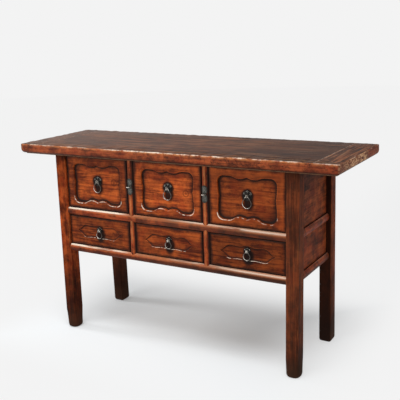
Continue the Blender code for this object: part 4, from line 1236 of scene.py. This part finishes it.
class SIDETABLE_OT_fronts(Operator):
    """Carved fronts of the six drawers"""

    bl_idname = "side_table.fronts"
    bl_label = "Drawer fronts"

    def execute(self, context):
        sizes, colours = chosen(context)
        deep = sizes.panel_depth
        shallow = sizes.cartouche_depth
        # steps of a sinking: how far in, how far down, rubbing with painted highlight, and soiling with
        # painted shade
        carvings = {
            "upper": (cusped_outline, (
                (0.0008, deep * 0.04, 0.9, 0.0), (0.0008, deep * 0.12, 0.5, 0.1),
                (0.0014, deep * 0.50, 0.0, 0.6), (0.0010, deep * 0.26, 0.0, 1.0),
                (0.0022, deep * 0.08, 0.0, 0.95), (0.0080, 0.0, 0.0, 0.55), (0.0160, 0.0, 0.0, 0.0),
            )),
            "lower": (pointed_outline, (
                (0.0007, shallow * 0.10, 0.6, 0.0), (0.0008, shallow * 0.30, 0.2, 0.3),
                (0.0010, shallow * 0.45, 0.0, 0.75), (0.0020, shallow * 0.15, 0.0, 0.80),
                (0.0095, 0.0, 0.0, 0.0),
            )),
        }
        sunk = {"upper": deep, "lower": shallow}
        # how dark a bay is, how much light a row gets, and how dirty, or below 0 how pale, the flat is
        shades = {"left": 0.0, "centre": -0.25, "right": 0.32}
        dimming = {"upper": 1.0, "lower": 0.63}
        borders = {("upper", "left"): 0.6, ("upper", "centre"): 0.35, ("upper", "right"): -0.30}
        roses = {"upper": sizes.upper_rose + sizes.rose_stain_and_shadow, "lower": sizes.lower_rose}
        # knots, as measured from the eye
        knots = {("upper", "left"): (0.086, 0.0), ("upper", "centre"): (0.085, -0.015)}
        rises = {"upper": sizes.upper_eye_rise, "lower": sizes.lower_eye_rise}
        for row, (outline, sinking) in carvings.items():
            low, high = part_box("drawer_front_%s_centre" % row)
            pattern = carve_front(
                "carved_pattern", "drawer_front_%s_centre" % row,
                outline(sizes, high.x - low.x, high.z - low.z), sinking, sizes,
            )
            for number, bay in enumerate(BAYS):
                node = "drawer_front_%s_%s" % (row, bay)
                near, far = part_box(node)
                middle = (near + far) / 2
                piece = copy_to(pattern, "carved_" + node, (middle.x, 0.0, 0.0), sizes)
                eye = middle + Vector((0.0, 0.0, rises[row]))
                seed = 5.0 + 6.3 * number + 19.0 * ROWS.index(row)
                shade = 1.0 - (1.0 - shades[bay]) * dimming[row]
                wood = front_wood(
                    "carved front wood, %s %s" % (row, bay), seed, colours, (near, far), eye,
                    roses[row], sunk[row], shade, borders.get((row, bay), 0.0), knots.get((row, bay)),
                )
                set_in_place(piece, node, wood, angle=30.0)
            bpy.data.objects.remove(pattern)
        return {"FINISHED"}


class SIDETABLE_OT_roses(Operator):
    """Iron roses with the eyes that the rings hang in"""

    bl_idname = "side_table.roses"
    bl_label = "Pull roses"

    def execute(self, context):
        sizes, colours = chosen(context)
        iron = forged_iron("forged iron, roses", 2.0, colours, colours.plate_iron, rusty=0.6, rubbed=1.0)
        for row, radius, sunk, rise in (
            ("upper", sizes.upper_rose, sizes.panel_depth, sizes.upper_eye_rise),
            ("lower", sizes.lower_rose, sizes.cartouche_depth, sizes.lower_eye_rise),
        ):
            pattern = forge_rose("rose_pattern", radius, sizes)
            back = sizes.drawer_setback - sizes.case_half_depth + sunk - sizes.seat_gap
            for bay in BAYS:
                low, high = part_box("drawer_front_%s_%s" % (row, bay))
                node = "pull_plate_%s_%s" % (row, bay)
                place = ((low.x + high.x) / 2, back, (low.z + high.z) / 2 + rise)
                piece = copy_to(pattern, "forged_" + node, place, sizes)
                set_in_place(piece, node, iron, angle=50.0)
            bpy.data.objects.remove(pattern)
        return {"FINISHED"}


def ring_rub_and_highlight(point, low, high):
    """How bright a ring is: rubbed by its eye, and with a painted highlight at its lower left."""
    left = (low.x + high.x - 2 * point.x) / (high.x - low.x)
    down = (low.z + high.z - 2 * point.z) / (high.z - low.z)
    return min(max((left * 0.6 + down * 0.8 - 0.1) / 0.8, (-down - 0.55) / 0.2, 0.1), 1.0)


class SIDETABLE_OT_rings(Operator):
    """Drop-shaped iron rings, thicker at the foot"""

    bl_idname = "side_table.rings"
    bl_label = "Pull rings"

    def execute(self, context):
        sizes, colours = chosen(context)
        iron = forged_iron("forged iron, rings", 9.0, colours, colours.ring_iron, rusty=0.7, rubbed=1.0)
        for row in ROWS:
            for bay in BAYS:
                node = "pull_ring_%s_%s" % (row, bay)
                low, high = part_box(node)
                foot_top = low.z + (high.z - low.z) * 0.30
                piece = round_iron(node, "forged_" + node)
                with on_the_bench(piece):
                    bpy.ops.transform.shrink_fatten(value=-sizes.ring_wear)
                    choose(piece, "VERT", lambda vertex: vertex.co.z < foot_top)
                    bpy.ops.transform.shrink_fatten(value=sizes.ring_foot)
                    bpy.ops.mesh.select_all(action="SELECT")
                    mark_chosen(piece, wear=lambda point: ring_rub_and_highlight(point, low, high))
                set_in_place(piece, node, iron, angle=60.0)
        return {"FINISHED"}


def lock_highlight(point, middle, sizes):
    """How bright a lock plate is: a painted highlight in the middle of its two lobes."""
    place = abs(point.z - middle.z) / (sizes.lock_height / 2)
    across = abs(point.x - middle.x) / (sizes.lock_width / 2)
    return min(max(place - 0.08, 0.0) / 0.2, max(1.0 - place, 0.0) / 0.3, max(1.0 - across, 0.0) / 0.4, 1.0)


class SIDETABLE_OT_locks(Operator):
    """Two-lobed lock plates bent round the upper muntins, and their staples"""

    bl_idname = "side_table.locks"
    bl_label = "Locks"

    def execute(self, context):
        sizes, colours = chosen(context)
        iron = forged_iron("forged iron, locks", 15.0, colours, colours.lock_iron, rusty=0.85, rubbed=0.14)
        # the staples are bright iron all over, as a painted glint
        bare = colours.bright_iron_and_glint
        bright = forged_iron("forged iron, staples", 25.0, colours, bare, rusty=0.2, rubbed=0.0)
        low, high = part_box("muntin_upper_left")
        width = high.x - low.x
        radius = (width ** 2 / 4 + sizes.muntin_crown ** 2) / (2 * sizes.muntin_crown)
        axis = sizes.muntin_setback - sizes.case_half_depth + radius
        for side in SIDES:
            low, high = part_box("lock_plate_" + side)
            middle = (low + high) / 2
            put_down()
            bpy.ops.mesh.primitive_grid_add(
                x_subdivisions=14, y_subdivisions=48, size=2.0, rotation=(pi / 2, 0.0, 0.0)
            )
            plate = name_blank("forged_lock_plate_" + side)

            def bent(point):
                place = sin(point.z * pi / 2)
                lobes = 1 - 0.30 * cos(place * pi / 2) ** 6
                across = point.x * sizes.lock_width / 2 * lobes * sqrt(1.04 - place ** 4)
                depth = axis - sqrt((radius + sizes.lock_gap) ** 2 - across ** 2)
                return Vector((middle.x + across, depth, middle.z + place * sizes.lock_height / 2))

            with on_the_bench(plate):
                shift_chosen(plate, bent)
                bpy.ops.mesh.normals_make_consistent(inside=False)
            thickness = plate.modifiers.new("Thickness", "SOLIDIFY")
            thickness.thickness = sizes.lock_thickness
            thickness.offset = 1.0
            rounding = plate.modifiers.new("Edge", "BEVEL")
            rounding.width = sizes.lock_thickness * 0.3
            rounding.segments = 2
            for modifier in (thickness, rounding):
                apply_to(plate, modifier)
            with on_the_bench(plate):
                # painted highlight on the lobes
                mark_chosen(plate, wear=lambda point: lock_highlight(point, middle, sizes))
            lean_out(plate, sizes)
            set_in_place(plate, "lock_plate_" + side, iron, angle=50.0)
            staple = round_iron("lock_staple_" + side, "forged_lock_staple_" + side)
            set_in_place(staple, "lock_staple_" + side, bright, angle=60.0)
        return {"FINISHED"}


class SIDETABLE_OT_boards(Operator):
    """Finishes of the end and back panels, drawer boxes, runners and batten"""

    bl_idname = "side_table.boards"
    bl_label = "Panels and insides"

    def execute(self, context):
        _, colours = chosen(context)
        ends = panel_wood("mottled end panel wood", "y", 6.0, colours)
        back = panel_wood("mottled back panel wood", "x", 16.0, colours)
        raw_x = inner_wood("raw inner wood, crosswise", "x", 7.0, colours)
        raw_y = inner_wood("raw inner wood, lengthwise", "y", 17.0, colours)
        for row in ROWS:
            dress_node("panel_back_" + row, back)
            for side in SIDES:
                dress_node("panel_%s_%s" % (side, row), ends)
                dress_node("runner_%s_%s" % (row, side), raw_y)
            for bay in BAYS:
                dress_node("drawer_box_%s_%s" % (row, bay), raw_x)
        dress_node("top_batten", raw_y)
        return {"FINISHED"}


PIECES = (
    SIDETABLE_OT_stage,
    SIDETABLE_OT_top,
    SIDETABLE_OT_legs,
    SIDETABLE_OT_rails,
    SIDETABLE_OT_muntins,
    SIDETABLE_OT_fronts,
    SIDETABLE_OT_roses,
    SIDETABLE_OT_rings,
    SIDETABLE_OT_locks,
    SIDETABLE_OT_boards,
)


class SIDETABLE_PT_pieces(Panel):
    """The table's pieces in the order they are made"""

    bl_label = "Side table"
    bl_idname = "SIDETABLE_PT_pieces"
    bl_space_type = "VIEW_3D"
    bl_region_type = "UI"
    bl_category = "Side table"

    def draw(self, context):
        for piece in PIECES:
            self.layout.operator(piece.bl_idname)
        for group in chosen(context):
            column = self.layout.column()
            for name in group.__annotations__:
                column.prop(group, name)


CLASSES = (SideTableSizes, SideTableColours, *PIECES, SIDETABLE_PT_pieces)


def register():
    for item in CLASSES:
        bpy.utils.register_class(item)
    bpy.types.Scene.side_table_sizes = PointerProperty(type=SideTableSizes)
    bpy.types.Scene.side_table_colours = PointerProperty(type=SideTableColours)


def unregister():
    del bpy.types.Scene.side_table_colours
    del bpy.types.Scene.side_table_sizes
    for item in reversed(CLASSES):
        bpy.utils.unregister_class(item)


def main():
    register()
    for piece in PIECES:
        group, name = piece.bl_idname.split(".")
        getattr(getattr(bpy.ops, group), name)()
    put_down()


if __name__ == "__main__":
    main()
